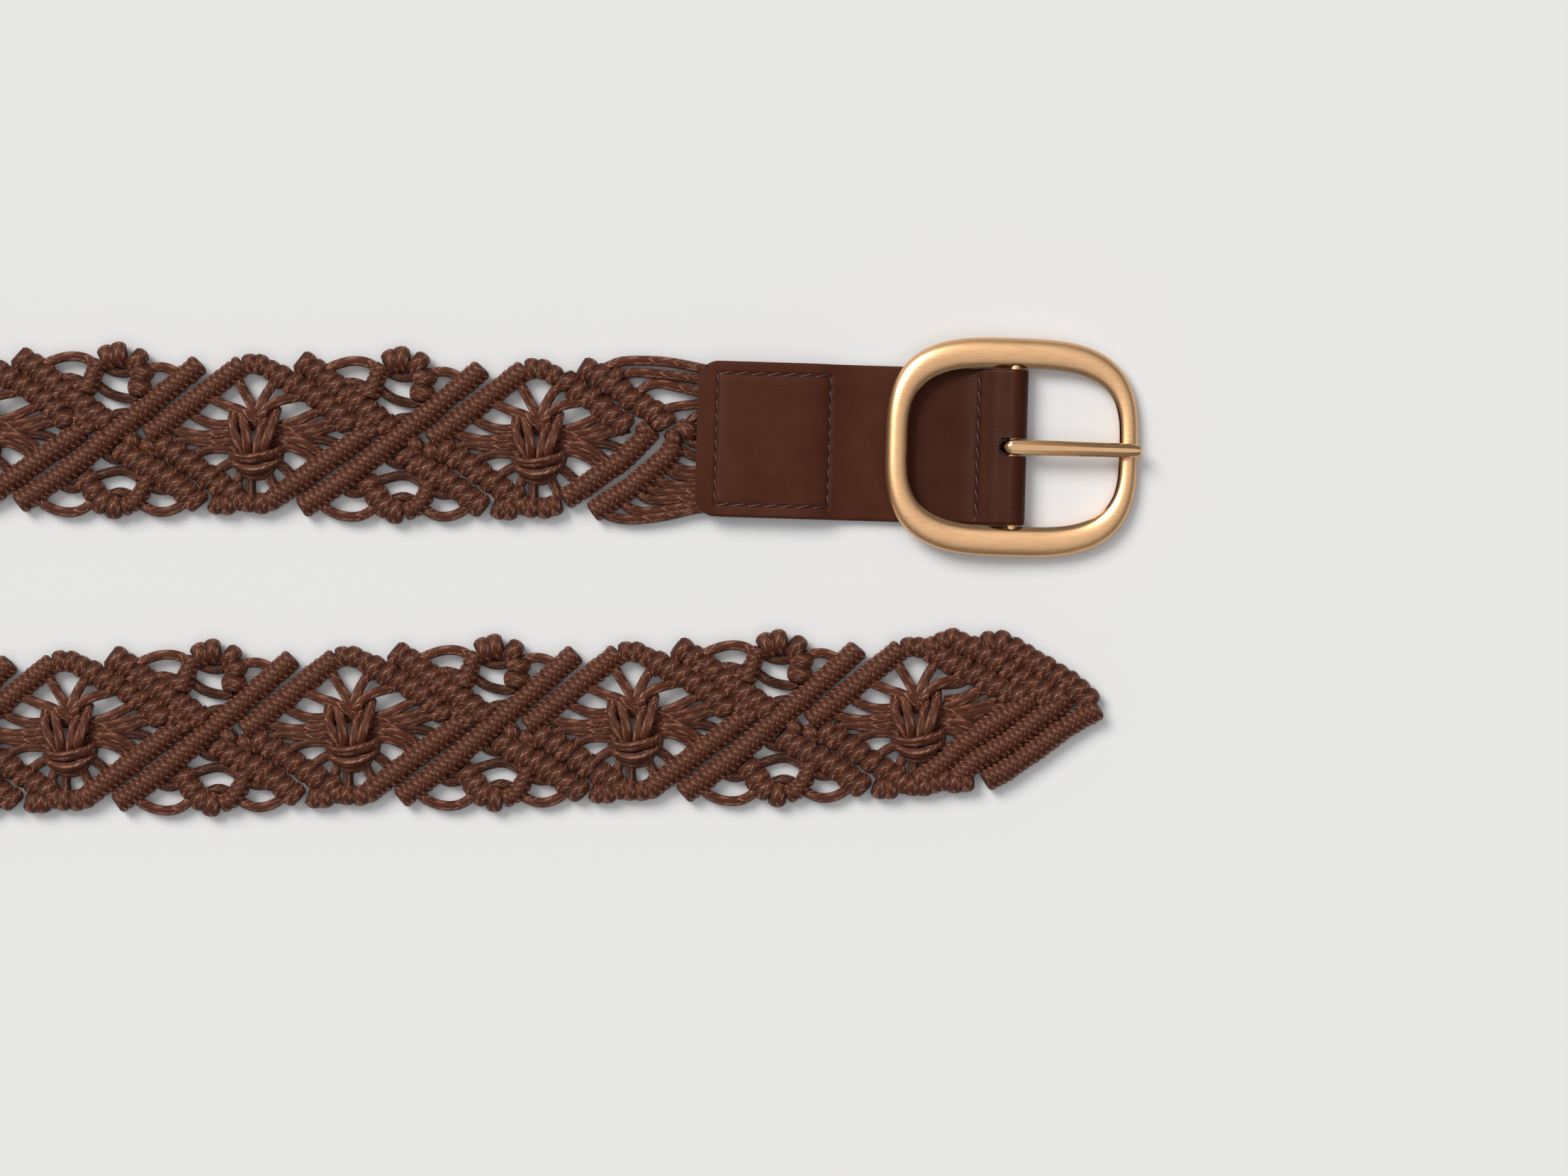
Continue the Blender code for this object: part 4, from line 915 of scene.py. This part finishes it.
def make_leather():
    material = bpy.data.materials.new("brown_leather")
    material.use_nodes = True
    nodes, links = material.node_tree.nodes, material.node_tree.links
    shader = nodes["Principled BSDF"]
    place = nodes.new("ShaderNodeTexCoord")
    turned = nodes.new("ShaderNodeMapping")
    turned.inputs["Rotation"].default_value = (0, 0, math.radians(-38))
    turned.inputs["Scale"].default_value = (0.62, 1.0, 1.0)
    links.new(place.outputs["Object"], turned.inputs["Vector"])
    pebble = nodes.new("ShaderNodeTexVoronoi")
    pebble.feature = "SMOOTH_F1"
    pebble.inputs["Scale"].default_value = 3400.0
    pebble.inputs["Smoothness"].default_value = 0.35
    pebble.inputs["Randomness"].default_value = 0.95
    links.new(turned.outputs[0], pebble.inputs["Vector"])
    patch = nodes.new("ShaderNodeTexNoise")
    patch.inputs["Scale"].default_value = 110.0
    patch.inputs["Detail"].default_value = 4.0
    links.new(place.outputs["Object"], patch.inputs["Vector"])
    crease = nodes.new("ShaderNodeTexNoise")
    crease.inputs["Scale"].default_value = 520.0
    crease.inputs["Detail"].default_value = 3.0
    crease_map = nodes.new("ShaderNodeMapping")
    crease_map.inputs["Rotation"].default_value = (0, 0, math.radians(-42))
    crease_map.inputs["Scale"].default_value = (0.16, 1.0, 1.0)
    links.new(place.outputs["Object"], crease_map.inputs["Vector"])
    links.new(crease_map.outputs[0], crease.inputs["Vector"])
    centre = in_tab @ Vector((BOX_RIGHT + 9 * MM, 8 * MM, 3 * MM))
    near = nodes.new("ShaderNodeVectorMath")
    near.operation = "DISTANCE"
    near.inputs[1].default_value = centre
    links.new(place.outputs["Object"], near.inputs[0])
    drawn = nodes.new("ShaderNodeMapRange")
    drawn.interpolation_type = "SMOOTHSTEP"
    drawn.inputs["From Min"].default_value = 17 * MM
    drawn.inputs["From Max"].default_value = 5 * MM
    links.new(near.outputs["Value"], drawn.inputs["Value"])
    shade = nodes.new("ShaderNodeMix")
    shade.data_type = "RGBA"
    shade.inputs["A"].default_value = (0.049, 0.0122, 0.0064, 1)
    shade.inputs["B"].default_value = (0.072, 0.0198, 0.0108, 1)
    tone = shader_math(nodes, links, "MULTIPLY_ADD", pebble.outputs["Distance"], -0.30, patch.outputs["Fac"])
    lighter = nodes.new("ShaderNodeMapRange")
    lighter.inputs["From Min"].default_value = 0.05
    lighter.inputs["From Max"].default_value = 0.65
    links.new(tone, lighter.inputs["Value"])
    links.new(lighter.outputs[0], shade.inputs["Factor"])
    # Painted shade: the leather near the bar, inside the buckle's frame, is darkened towards a near-black brown,
    # fading out between 26 and 36 mm from the bar's axis.
    from_bar = nodes.new("ShaderNodeVectorMath")
    from_bar.operation = "DISTANCE"
    from_bar.inputs[1].default_value = bar
    links.new(place.outputs["Object"], from_bar.inputs[0])
    buckle_shade_amount = nodes.new("ShaderNodeMapRange")
    buckle_shade_amount.inputs["From Min"].default_value = 26 * MM
    buckle_shade_amount.inputs["From Max"].default_value = 36 * MM
    buckle_shade_amount.inputs["To Min"].default_value = 0.42
    buckle_shade_amount.inputs["To Max"].default_value = 0.0
    links.new(from_bar.outputs["Value"], buckle_shade_amount.inputs["Value"])
    painted_buckle_shade = nodes.new("ShaderNodeMix")
    painted_buckle_shade.data_type = "RGBA"
    painted_buckle_shade.inputs["B"].default_value = (0.016, 0.0034, 0.0016, 1)
    links.new(shade.outputs["Result"], painted_buckle_shade.inputs["A"])
    links.new(buckle_shade_amount.outputs[0], painted_buckle_shade.inputs["Factor"])
    links.new(painted_buckle_shade.outputs["Result"], shader.inputs["Base Color"])
    gloss = nodes.new("ShaderNodeMapRange")
    gloss.inputs["To Min"].default_value = 0.36
    gloss.inputs["To Max"].default_value = 0.56
    links.new(patch.outputs["Fac"], gloss.inputs["Value"])
    links.new(gloss.outputs[0], shader.inputs["Roughness"])
    grain = shader_math(nodes, links, "MULTIPLY", pebble.outputs["Distance"], -1.0)
    folds = shader_math(nodes, links, "MULTIPLY", crease.outputs["Fac"], drawn.outputs[0])
    height = shader_math(nodes, links, "MULTIPLY_ADD", folds, 1.5, grain)
    bump = nodes.new("ShaderNodeBump")
    bump.inputs["Strength"].default_value = 0.7
    bump.inputs["Distance"].default_value = 0.06 * MM
    links.new(height, bump.inputs["Height"])
    links.new(bump.outputs[0], shader.inputs["Normal"])
    shader.inputs["Specular IOR Level"].default_value = 0.11
    shader.inputs["Specular Tint"].default_value = (1.0, 0.66, 0.50, 1)
    return material


past = 2 * MM
leather = make_leather()
bore = rod("bore", BORE_RADIUS, TAB_WIDTH / 2 + past, 40)
bore.transform(Matrix.Translation((0, 0, BAR_HEIGHT)))
slot = block("slot", (-TAB_LENGTH - past, -SLOT_HALF, SLOT_FLOOR), (-TAB_LENGTH + SLOT_DEPTH, SLOT_HALF, SLOT_FLOOR + SLOT_HEIGHT))
notch = notch_cutter()
tab = joined("leather_strap", make_tab_mesh(), (slot, notch, bore), "DIFFERENCE", in_tab, leather)
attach(tab, "strap")
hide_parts("leather_tab")

# The seams. A dark waxed thread goes round the box over the cords' ends and once across the fold, and each
# stitch lies slantwise in the groove that it has pulled into the leather.
THREAD_RADIUS = 0.27 * MM
STITCH_SLANT = math.radians(13)
BOX_STITCH = 4.15 * MM
SIDE_STITCH = 3.4 * MM
FOLD_STITCH = 3.7 * MM


def make_stitch():
    """One stitch along X, of unit length: a thread that comes up out of its hole and goes down into the next."""
    steps, sides = 10, 8
    vertices, uvs, faces = [], [], []
    for i in range(steps + 1):
        t = i / steps
        lift = math.sin(math.pi * t) ** 0.5 if 0 < i < steps else 0.0
        for j in range(sides):
            around = 2 * math.pi * j / sides
            vertices.append((
                0.84 * (t - 0.5), THREAD_RADIUS * math.cos(around),
                THREAD_RADIUS * (1.15 * lift - 1.3 + math.sin(around)),
            ))
    for i in range(steps):
        for j in range(sides):
            beside = (j + 1) % sides
            faces.append((i * sides + j, (i + 1) * sides + j, (i + 1) * sides + beside, i * sides + beside))
            uvs += [(s / steps * 3 * MM, c / sides) for s, c in ((i, j), (i + 1, j), (i + 1, j + 1), (i, j + 1))]
    mesh = bpy.data.meshes.new("one_stitch")
    mesh.from_pydata(vertices, [], [tuple(reversed(face)) for face in faces])
    layer = mesh.uv_layers.new(name="UVMap")
    layer.data.foreach_set("uv", np.array(uvs, np.float32).ravel())
    mesh.shade_smooth()
    return bpy.data.objects.new("one_stitch", mesh)


def top_height(x, y):
    """Height of the sewn leather's top at a place on the tab."""
    places, heights = zip(*TAB_TOP)
    level = float(np.interp(x / MM, places, heights)) * MM
    return level - sewn_dip(x, y)


def stitches_between(start, end, pitch, dice):
    """Places, turns and sizes of the stitches of one straight seam on the tab."""
    run = Vector(end) - Vector(start)
    count = round(run.length / pitch)
    pitch = run.length / count
    found = []
    for k in range(count):
        spot = Vector(start) + run * (k + 0.5) / count
        ahead = spot + run.normalized() * pitch / 3
        behind = spot - run.normalized() * pitch / 3
        rise = math.atan2(top_height(*ahead) - top_height(*behind), (ahead - behind).length)
        heading = math.atan2(run.y, run.x) + STITCH_SLANT + dice.normal(0, 0.03)
        turn = (in_tab.to_3x3() @ Matrix.Rotation(heading, 3, "Z") @ Matrix.Rotation(-rise, 3, "Y")).to_euler()
        place = in_tab @ Vector((spot.x, spot.y, top_height(*spot) + 0.22 * MM))
        found.append((place, turn, (pitch * (1 + dice.normal(0, 0.03)), 1, 1)))
    return found


def make_thread():
    material = bpy.data.materials.new("waxed_thread")
    material.use_nodes = True
    nodes, links = material.node_tree.nodes, material.node_tree.links
    shader = nodes["Principled BSDF"]
    uv = nodes.new("ShaderNodeUVMap")
    uv.uv_map = "UVMap"
    split = nodes.new("ShaderNodeSeparateXYZ")
    links.new(uv.outputs[0], split.inputs[0])
    lay = shader_math(nodes, links, "MULTIPLY_ADD", split.outputs["X"], 1 / (0.9 * MM), split.outputs["Y"])
    strand = shader_math(nodes, links, "FRACT", shader_math(nodes, links, "MULTIPLY", lay, 2.0))
    crown = shader_math(nodes, links, "SINE", shader_math(nodes, links, "MULTIPLY", strand, math.pi))
    # Painted shade: the thread is darker down between its strands and lighter on their crowns.
    shade = nodes.new("ShaderNodeMix")
    shade.data_type = "RGBA"
    shade.inputs["A"].default_value = (0.010, 0.004, 0.004, 1)
    shade.inputs["B"].default_value = (0.040, 0.0125, 0.0085, 1)
    links.new(crown, shade.inputs["Factor"])
    links.new(shade.outputs["Result"], shader.inputs["Base Color"])
    shader.inputs["Roughness"].default_value = 0.42
    bump = nodes.new("ShaderNodeBump")
    bump.inputs["Strength"].default_value = 0.6
    bump.inputs["Distance"].default_value = 0.08 * MM
    links.new(crown, bump.inputs["Height"])
    links.new(bump.outputs[0], shader.inputs["Normal"])
    return material


dice = np.random.default_rng(7)
thread = make_thread()
sewn = stitches_between((BOX_LEFT, BOX_HALF), (BOX_RIGHT, BOX_HALF), BOX_STITCH, dice)
sewn += stitches_between((BOX_LEFT, -BOX_HALF), (BOX_RIGHT, -BOX_HALF), BOX_STITCH, dice)
sewn += stitches_between((BOX_LEFT, -BOX_HALF), (BOX_LEFT, BOX_HALF), SIDE_STITCH, dice)
sewn += stitches_between((BOX_RIGHT, -BOX_HALF), (BOX_RIGHT, BOX_HALF), SIDE_STITCH, dice)
sewn += stitches_between((SEAM_PLACE, -SEAM_HALF), (SEAM_PLACE, SEAM_HALF), FOLD_STITCH, dice)


def points_mesh(found):
    """Points that carry the turn and the size of what is set on them."""
    mesh = bpy.data.meshes.new("set_points")
    mesh.from_pydata([place for place, _, _ in found], [], [])
    for name, column in (("turned", 1), ("sized", 2)):
        values = mesh.attributes.new(name, "FLOAT_VECTOR", "POINT")
        values.data.foreach_set("vector", np.array([tuple(item[column]) for item in found]).ravel())
    return mesh


one_stitch = make_stitch()
bpy.context.scene.collection.objects.link(one_stitch)
stitches = through_nodes(
    "tab_stitches", points_mesh(sewn), placing, {"Copied": one_stitch, "Finish": thread}, thread,
)
bpy.data.objects.remove(one_stitch)
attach(stitches, "strap")

# The buckle frame. It is cast in one piece with its centre bar, domed on the left and broad at top and bottom,
# plated light gold and brushed along its length, with a narrow bevel left bright round the window.
FRAME_LENGTH = 65.1 * MM
FRAME_HEIGHT = 56.2 * MM
WINDOW_LENGTH = 54.5 * MM
WINDOW_HEIGHT = 40.8 * MM
FRAME_THICKNESS = 4.2 * MM
FRAME_SHIFT = -0.4 * MM
BAR_DROP = 0.5 * MM
BAR_RADIUS = 1.7 * MM
FRAME_ROUNDNESS = 3.1
WINDOW_ROUNDNESS = 3.4
STATIONS = 180
frame_tilt = math.asin((BAR_HEIGHT + BAR_DROP - FRAME_THICKNESS / 2 - 0.2 * MM) / (FRAME_LENGTH * 0.47))
in_frame = Matrix.Translation(bar) @ Matrix.Rotation(-tab_tilt, 4, "Z") @ Matrix.Rotation(frame_tilt, 4, "Y")

# Section of the frame. "across" runs from the window, 0, to the outer edge, 1; "height" is a share of half the
# thickness; "bright" is 1 on the bevel.
FRAME_SECTION = (
    (0.000, -0.30, 1.0), (-0.005, 0.02, 1.0), (0.000, 0.34, 1.0), (0.060, 0.52, 1.0), (0.125, 0.69, 0.6),
    (0.200, 0.82, 0.0), (0.300, 0.92, 0.0), (0.400, 0.98, 0.0), (0.500, 1.00, 0.0), (0.600, 0.985, 0.0),
    (0.700, 0.92, 0.0), (0.800, 0.80, 0.0), (0.880, 0.62, 0.0), (0.945, 0.38, 0.0), (0.985, 0.12, 0.0),
    (1.000, -0.12, 0.0), (0.985, -0.38, 0.0), (0.940, -0.62, 0.0), (0.850, -0.82, 0.0), (0.700, -0.95, 0.0),
    (0.500, -1.00, 0.0), (0.300, -0.97, 0.0), (0.140, -0.88, 0.0), (0.040, -0.66, 0.5),
)


def rounded(length, height, roundness, angle):
    """A point of a rounded rectangle, as a superellipse."""
    power = 2 / roundness
    cosine, sine = math.cos(angle), math.sin(angle)
    return Vector((
        length / 2 * math.copysign(abs(cosine) ** power, cosine),
        height / 2 * math.copysign(abs(sine) ** power, sine),
    ))


def make_frame_mesh():
    work = bmesh.new()
    bright = work.verts.layers.float.new("bright")
    rings = []
    for k in range(STATIONS):
        angle = 2 * math.pi * k / STATIONS
        outer = rounded(FRAME_LENGTH, FRAME_HEIGHT, FRAME_ROUNDNESS, angle) + Vector((FRAME_SHIFT, 0))
        inner = rounded(WINDOW_LENGTH, WINDOW_HEIGHT, WINDOW_ROUNDNESS, angle)
        ring = []
        for across, height, polish in FRAME_SECTION:
            place = inner.lerp(outer, across)
            corner = work.verts.new((*place, BAR_DROP + height * FRAME_THICKNESS / 2))
            corner[bright] = polish
            ring.append(corner)
        rings.append(ring)
    for ring, following in zip(rings, rings[1:] + rings[:1]):
        for k, corner in enumerate(ring):
            after = (k + 1) % len(ring)
            work.faces.new((corner, ring[after], following[after], following[k]))
    bmesh.ops.recalc_face_normals(work, faces=work.faces)
    mesh = bpy.data.meshes.new("buckle_ring")
    work.to_mesh(mesh)
    work.free()
    return mesh


GOLD = (0.79, 0.472, 0.245, 1)


def make_brushed_gold():
    material = bpy.data.materials.new("brushed_gold")
    material.use_nodes = True
    nodes, links = material.node_tree.nodes, material.node_tree.links
    shader = nodes["Principled BSDF"]
    shader.inputs["Metallic"].default_value = 1.0
    place = nodes.new("ShaderNodeTexCoord")
    drawn_out = nodes.new("ShaderNodeMapping")
    drawn_out.inputs["Rotation"].default_value = (0, 0, tab_tilt)
    drawn_out.inputs["Scale"].default_value = (0.03, 1.0, 1.0)
    links.new(place.outputs["Object"], drawn_out.inputs["Vector"])
    streak = nodes.new("ShaderNodeTexNoise")
    streak.inputs["Scale"].default_value = 3600.0
    streak.inputs["Detail"].default_value = 2.0
    links.new(drawn_out.outputs[0], streak.inputs["Vector"])
    cloud = nodes.new("ShaderNodeTexNoise")
    cloud.inputs["Scale"].default_value = 60.0
    links.new(place.outputs["Object"], cloud.inputs["Vector"])
    bright = nodes.new("ShaderNodeAttribute")
    bright.attribute_name = "bright"
    dull = shader_math(nodes, links, "SUBTRACT", 1.0, bright.outputs["Fac"])
    shade = nodes.new("ShaderNodeMix")
    shade.data_type = "RGBA"
    shade.inputs["A"].default_value = tuple(0.70 * part for part in GOLD[:3]) + (1,)
    shade.inputs["B"].default_value = GOLD
    links.new(shader_math(nodes, links, "MULTIPLY_ADD", streak.outputs["Fac"], 1.6, -0.05), shade.inputs["Factor"])
    links.new(shade.outputs["Result"], shader.inputs["Base Color"])
    rough = shader_math(nodes, links, "MULTIPLY_ADD", cloud.outputs["Fac"], 0.08, 0.19)
    links.new(shader_math(nodes, links, "MULTIPLY_ADD", rough, dull, 0.13), shader.inputs["Roughness"])
    bump = nodes.new("ShaderNodeBump")
    bump.inputs["Strength"].default_value = 0.6
    bump.inputs["Distance"].default_value = 0.02 * MM
    links.new(shader_math(nodes, links, "MULTIPLY", streak.outputs["Fac"], dull), bump.inputs["Height"])
    links.new(bump.outputs[0], shader.inputs["Normal"])
    return material


bar_half = (WINDOW_HEIGHT + FRAME_HEIGHT) / 4
centre_bar = rod("centre_bar", BAR_RADIUS, bar_half, 32)
buckle = joined("gold_frame", make_frame_mesh(), (centre_bar,), "UNION", in_frame, make_brushed_gold(), 35)
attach(buckle, "frame")
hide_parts("buckle_frame")

# The prong. It is cast like the frame and polished bright, with a small ball where it is bent round the bar,
# three long facets on its top, and a blunt end that lies over the frame's rim.
PRONG_LENGTH = 32.9 * MM
PRONG_WIDTH = 4.0 * MM
PRONG_LOOP_WALL = 1.4 * MM
LOOP_START = math.radians(285)
LOOP_STEPS = 26
# Shaft: "along" is a share of PRONG_LENGTH; "under" and "over" are shares of the loop's outer radius, above the
# bar's axis; "width" is a share of PRONG_WIDTH.
PRONG_SHAFT = (
    (0.05, 0.58, 1.00, 1.00), (0.10, 0.57, 1.00, 1.00), (0.30, 0.50, 1.00, 0.97), (0.62, 0.42, 0.99, 0.92),
    (0.85, 0.34, 0.95, 0.92), (0.93, 0.34, 0.92, 0.88), (0.965, 0.36, 0.88, 0.76), (0.988, 0.40, 0.82, 0.56),
    (1.00, 0.48, 0.70, 0.28),
)
# Section: "side" is a share of the half width and "rise" a share of the way from its under side to its top.
PRONG_SECTION = (
    (-0.70, 0.00), (-0.94, 0.10), (-1.00, 0.30), (-0.97, 0.50), (-0.84, 0.66), (-0.38, 0.93), (-0.26, 0.985),
    (0.00, 1.00), (0.26, 0.985), (0.38, 0.93), (0.84, 0.66), (0.97, 0.50), (1.00, 0.30), (0.94, 0.10), (0.70, 0.00),
)


def make_prong_mesh():
    outer_radius = BORE_RADIUS + PRONG_LOOP_WALL
    work = bmesh.new()
    rings = []

    def add_ring(inner, outer, width):
        rings.append([
            work.verts.new((
                inner.x + (outer.x - inner.x) * rise, side * width / 2, inner.y + (outer.y - inner.y) * rise,
            ))
            for side, rise in PRONG_SECTION
        ])

    for k in range(LOOP_STEPS + 1):
        share = k / LOOP_STEPS
        angle = LOOP_START + (math.pi / 2 - LOOP_START) * share
        way = Vector((math.cos(angle), math.sin(angle)))
        spread = 0.70 + 0.30 * max(0.0, (share - 0.55) / 0.45) ** 1.5
        closing = math.sin(min(1.0, share / 0.10 + 0.15) * math.pi / 2)
        middle = way * (BORE_RADIUS + PRONG_LOOP_WALL / 2)
        half_wall = way * PRONG_LOOP_WALL / 2 * closing
        add_ring(middle - half_wall, middle + half_wall, PRONG_WIDTH * spread * closing)
    for along, under, over, width in PRONG_SHAFT:
        add_ring(
            Vector((along * PRONG_LENGTH, under * outer_radius)),
            Vector((along * PRONG_LENGTH, over * outer_radius)),
            width * PRONG_WIDTH,
        )
    for ring, following in zip(rings, rings[1:]):
        for k, corner in enumerate(ring):
            after = (k + 1) % len(ring)
            work.faces.new((corner, following[k], following[after], ring[after]))
    work.faces.new(rings[0])
    work.faces.new(list(reversed(rings[-1])))
    bmesh.ops.recalc_face_normals(work, faces=work.faces)
    mesh = bpy.data.meshes.new("prong_body")
    work.to_mesh(mesh)
    work.free()
    return mesh


def make_polished_gold():
    material = bpy.data.materials.new("polished_gold")
    material.use_nodes = True
    nodes, links = material.node_tree.nodes, material.node_tree.links
    shader = nodes["Principled BSDF"]
    shader.inputs["Metallic"].default_value = 1.0
    place = nodes.new("ShaderNodeTexCoord")
    wave = nodes.new("ShaderNodeTexNoise")
    wave.inputs["Scale"].default_value = 260.0
    wave.inputs["Detail"].default_value = 1.0
    links.new(place.outputs["Object"], wave.inputs["Vector"])
    shade = nodes.new("ShaderNodeMix")
    shade.data_type = "RGBA"
    shade.inputs["A"].default_value = tuple(0.92 * part for part in GOLD[:3]) + (1,)
    shade.inputs["B"].default_value = GOLD
    links.new(wave.outputs["Fac"], shade.inputs["Factor"])
    links.new(shade.outputs["Result"], shader.inputs["Base Color"])
    rough = shader_math(nodes, links, "MULTIPLY_ADD", wave.outputs["Fac"], 0.06, 0.07)
    links.new(rough, shader.inputs["Roughness"])
    bump = nodes.new("ShaderNodeBump")
    bump.inputs["Strength"].default_value = 0.25
    bump.inputs["Distance"].default_value = 0.06 * MM
    links.new(wave.outputs["Fac"], bump.inputs["Height"])
    links.new(bump.outputs[0], shader.inputs["Normal"])
    return material


in_prong = Matrix.Translation(bar) @ Matrix.Rotation(-tab_tilt, 4, "Z")
prong = joined("gold_prong", make_prong_mesh(), (), "UNION", in_prong, make_polished_gold(), 18)
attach(prong, "prong")
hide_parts("prong")

# The floor and the light: a pale grey sweep, a broad soft key from the upper left, and an even surround.
ground = bpy.data.meshes.new("floor")
FLOOR_HALF = 6.0
ground.from_pydata([(x * FLOOR_HALF, y * FLOOR_HALF, 0) for x, y in ((-1, -1), (1, -1), (1, 1), (-1, 1))], [], [(0, 1, 2, 3)])
floor = bpy.data.objects.new("floor", ground)
bpy.context.scene.collection.objects.link(floor)
paper = bpy.data.materials.new("pale_paper")
paper.use_nodes = True
paper.node_tree.nodes["Principled BSDF"].inputs["Base Color"].default_value = (0.755, 0.755, 0.755, 1)
paper.node_tree.nodes["Principled BSDF"].inputs["Roughness"].default_value = 0.9
paper.node_tree.nodes["Principled BSDF"].inputs["Specular IOR Level"].default_value = 0.1
ground.materials.append(paper)

sun = bpy.data.lights.new("soft_key", "SUN")
sun.energy = 2.35
sun.angle = math.radians(30)
sun.color = (1.0, 0.985, 0.965)
key = bpy.data.objects.new("soft_key", sun)
bpy.context.scene.collection.objects.link(key)
key.rotation_euler = Vector((-0.72, 0.74, 1.0)).to_track_quat("Z", "Y").to_euler()
glint = bpy.data.lights.new("glint", "SUN")
glint.energy = 3.2
glint.angle = math.radians(9)
glint_light = bpy.data.objects.new("glint", glint)
bpy.context.scene.collection.objects.link(glint_light)
glint_light.rotation_euler = Vector((-0.62, 0.66, 1.0)).to_track_quat("Z", "Y").to_euler()
glint_light.visible_diffuse = False
world = bpy.data.worlds.new("studio")
world.use_nodes = True
sky, sky_links = world.node_tree.nodes, world.node_tree.links
facing = sky.new("ShaderNodeTexCoord")
upward = sky.new("ShaderNodeSeparateXYZ")
sky_links.new(facing.outputs["Generated"], upward.inputs[0])
overhead = sky.new("ShaderNodeMapRange")
overhead.interpolation_type = "SMOOTHSTEP"
overhead.inputs["From Min"].default_value = 0.45
overhead.inputs["From Max"].default_value = 0.97
overhead.inputs["To Min"].default_value = 0.24
overhead.inputs["To Max"].default_value = 0.88
sky_links.new(upward.outputs["Z"], overhead.inputs["Value"])
sky_links.new(overhead.outputs[0], sky["Background"].inputs["Strength"])
sky["Background"].inputs["Color"].default_value = (0.99, 0.99, 1.0, 1)
bpy.context.scene.world = world
bpy.context.scene.view_settings.view_transform = "Standard"
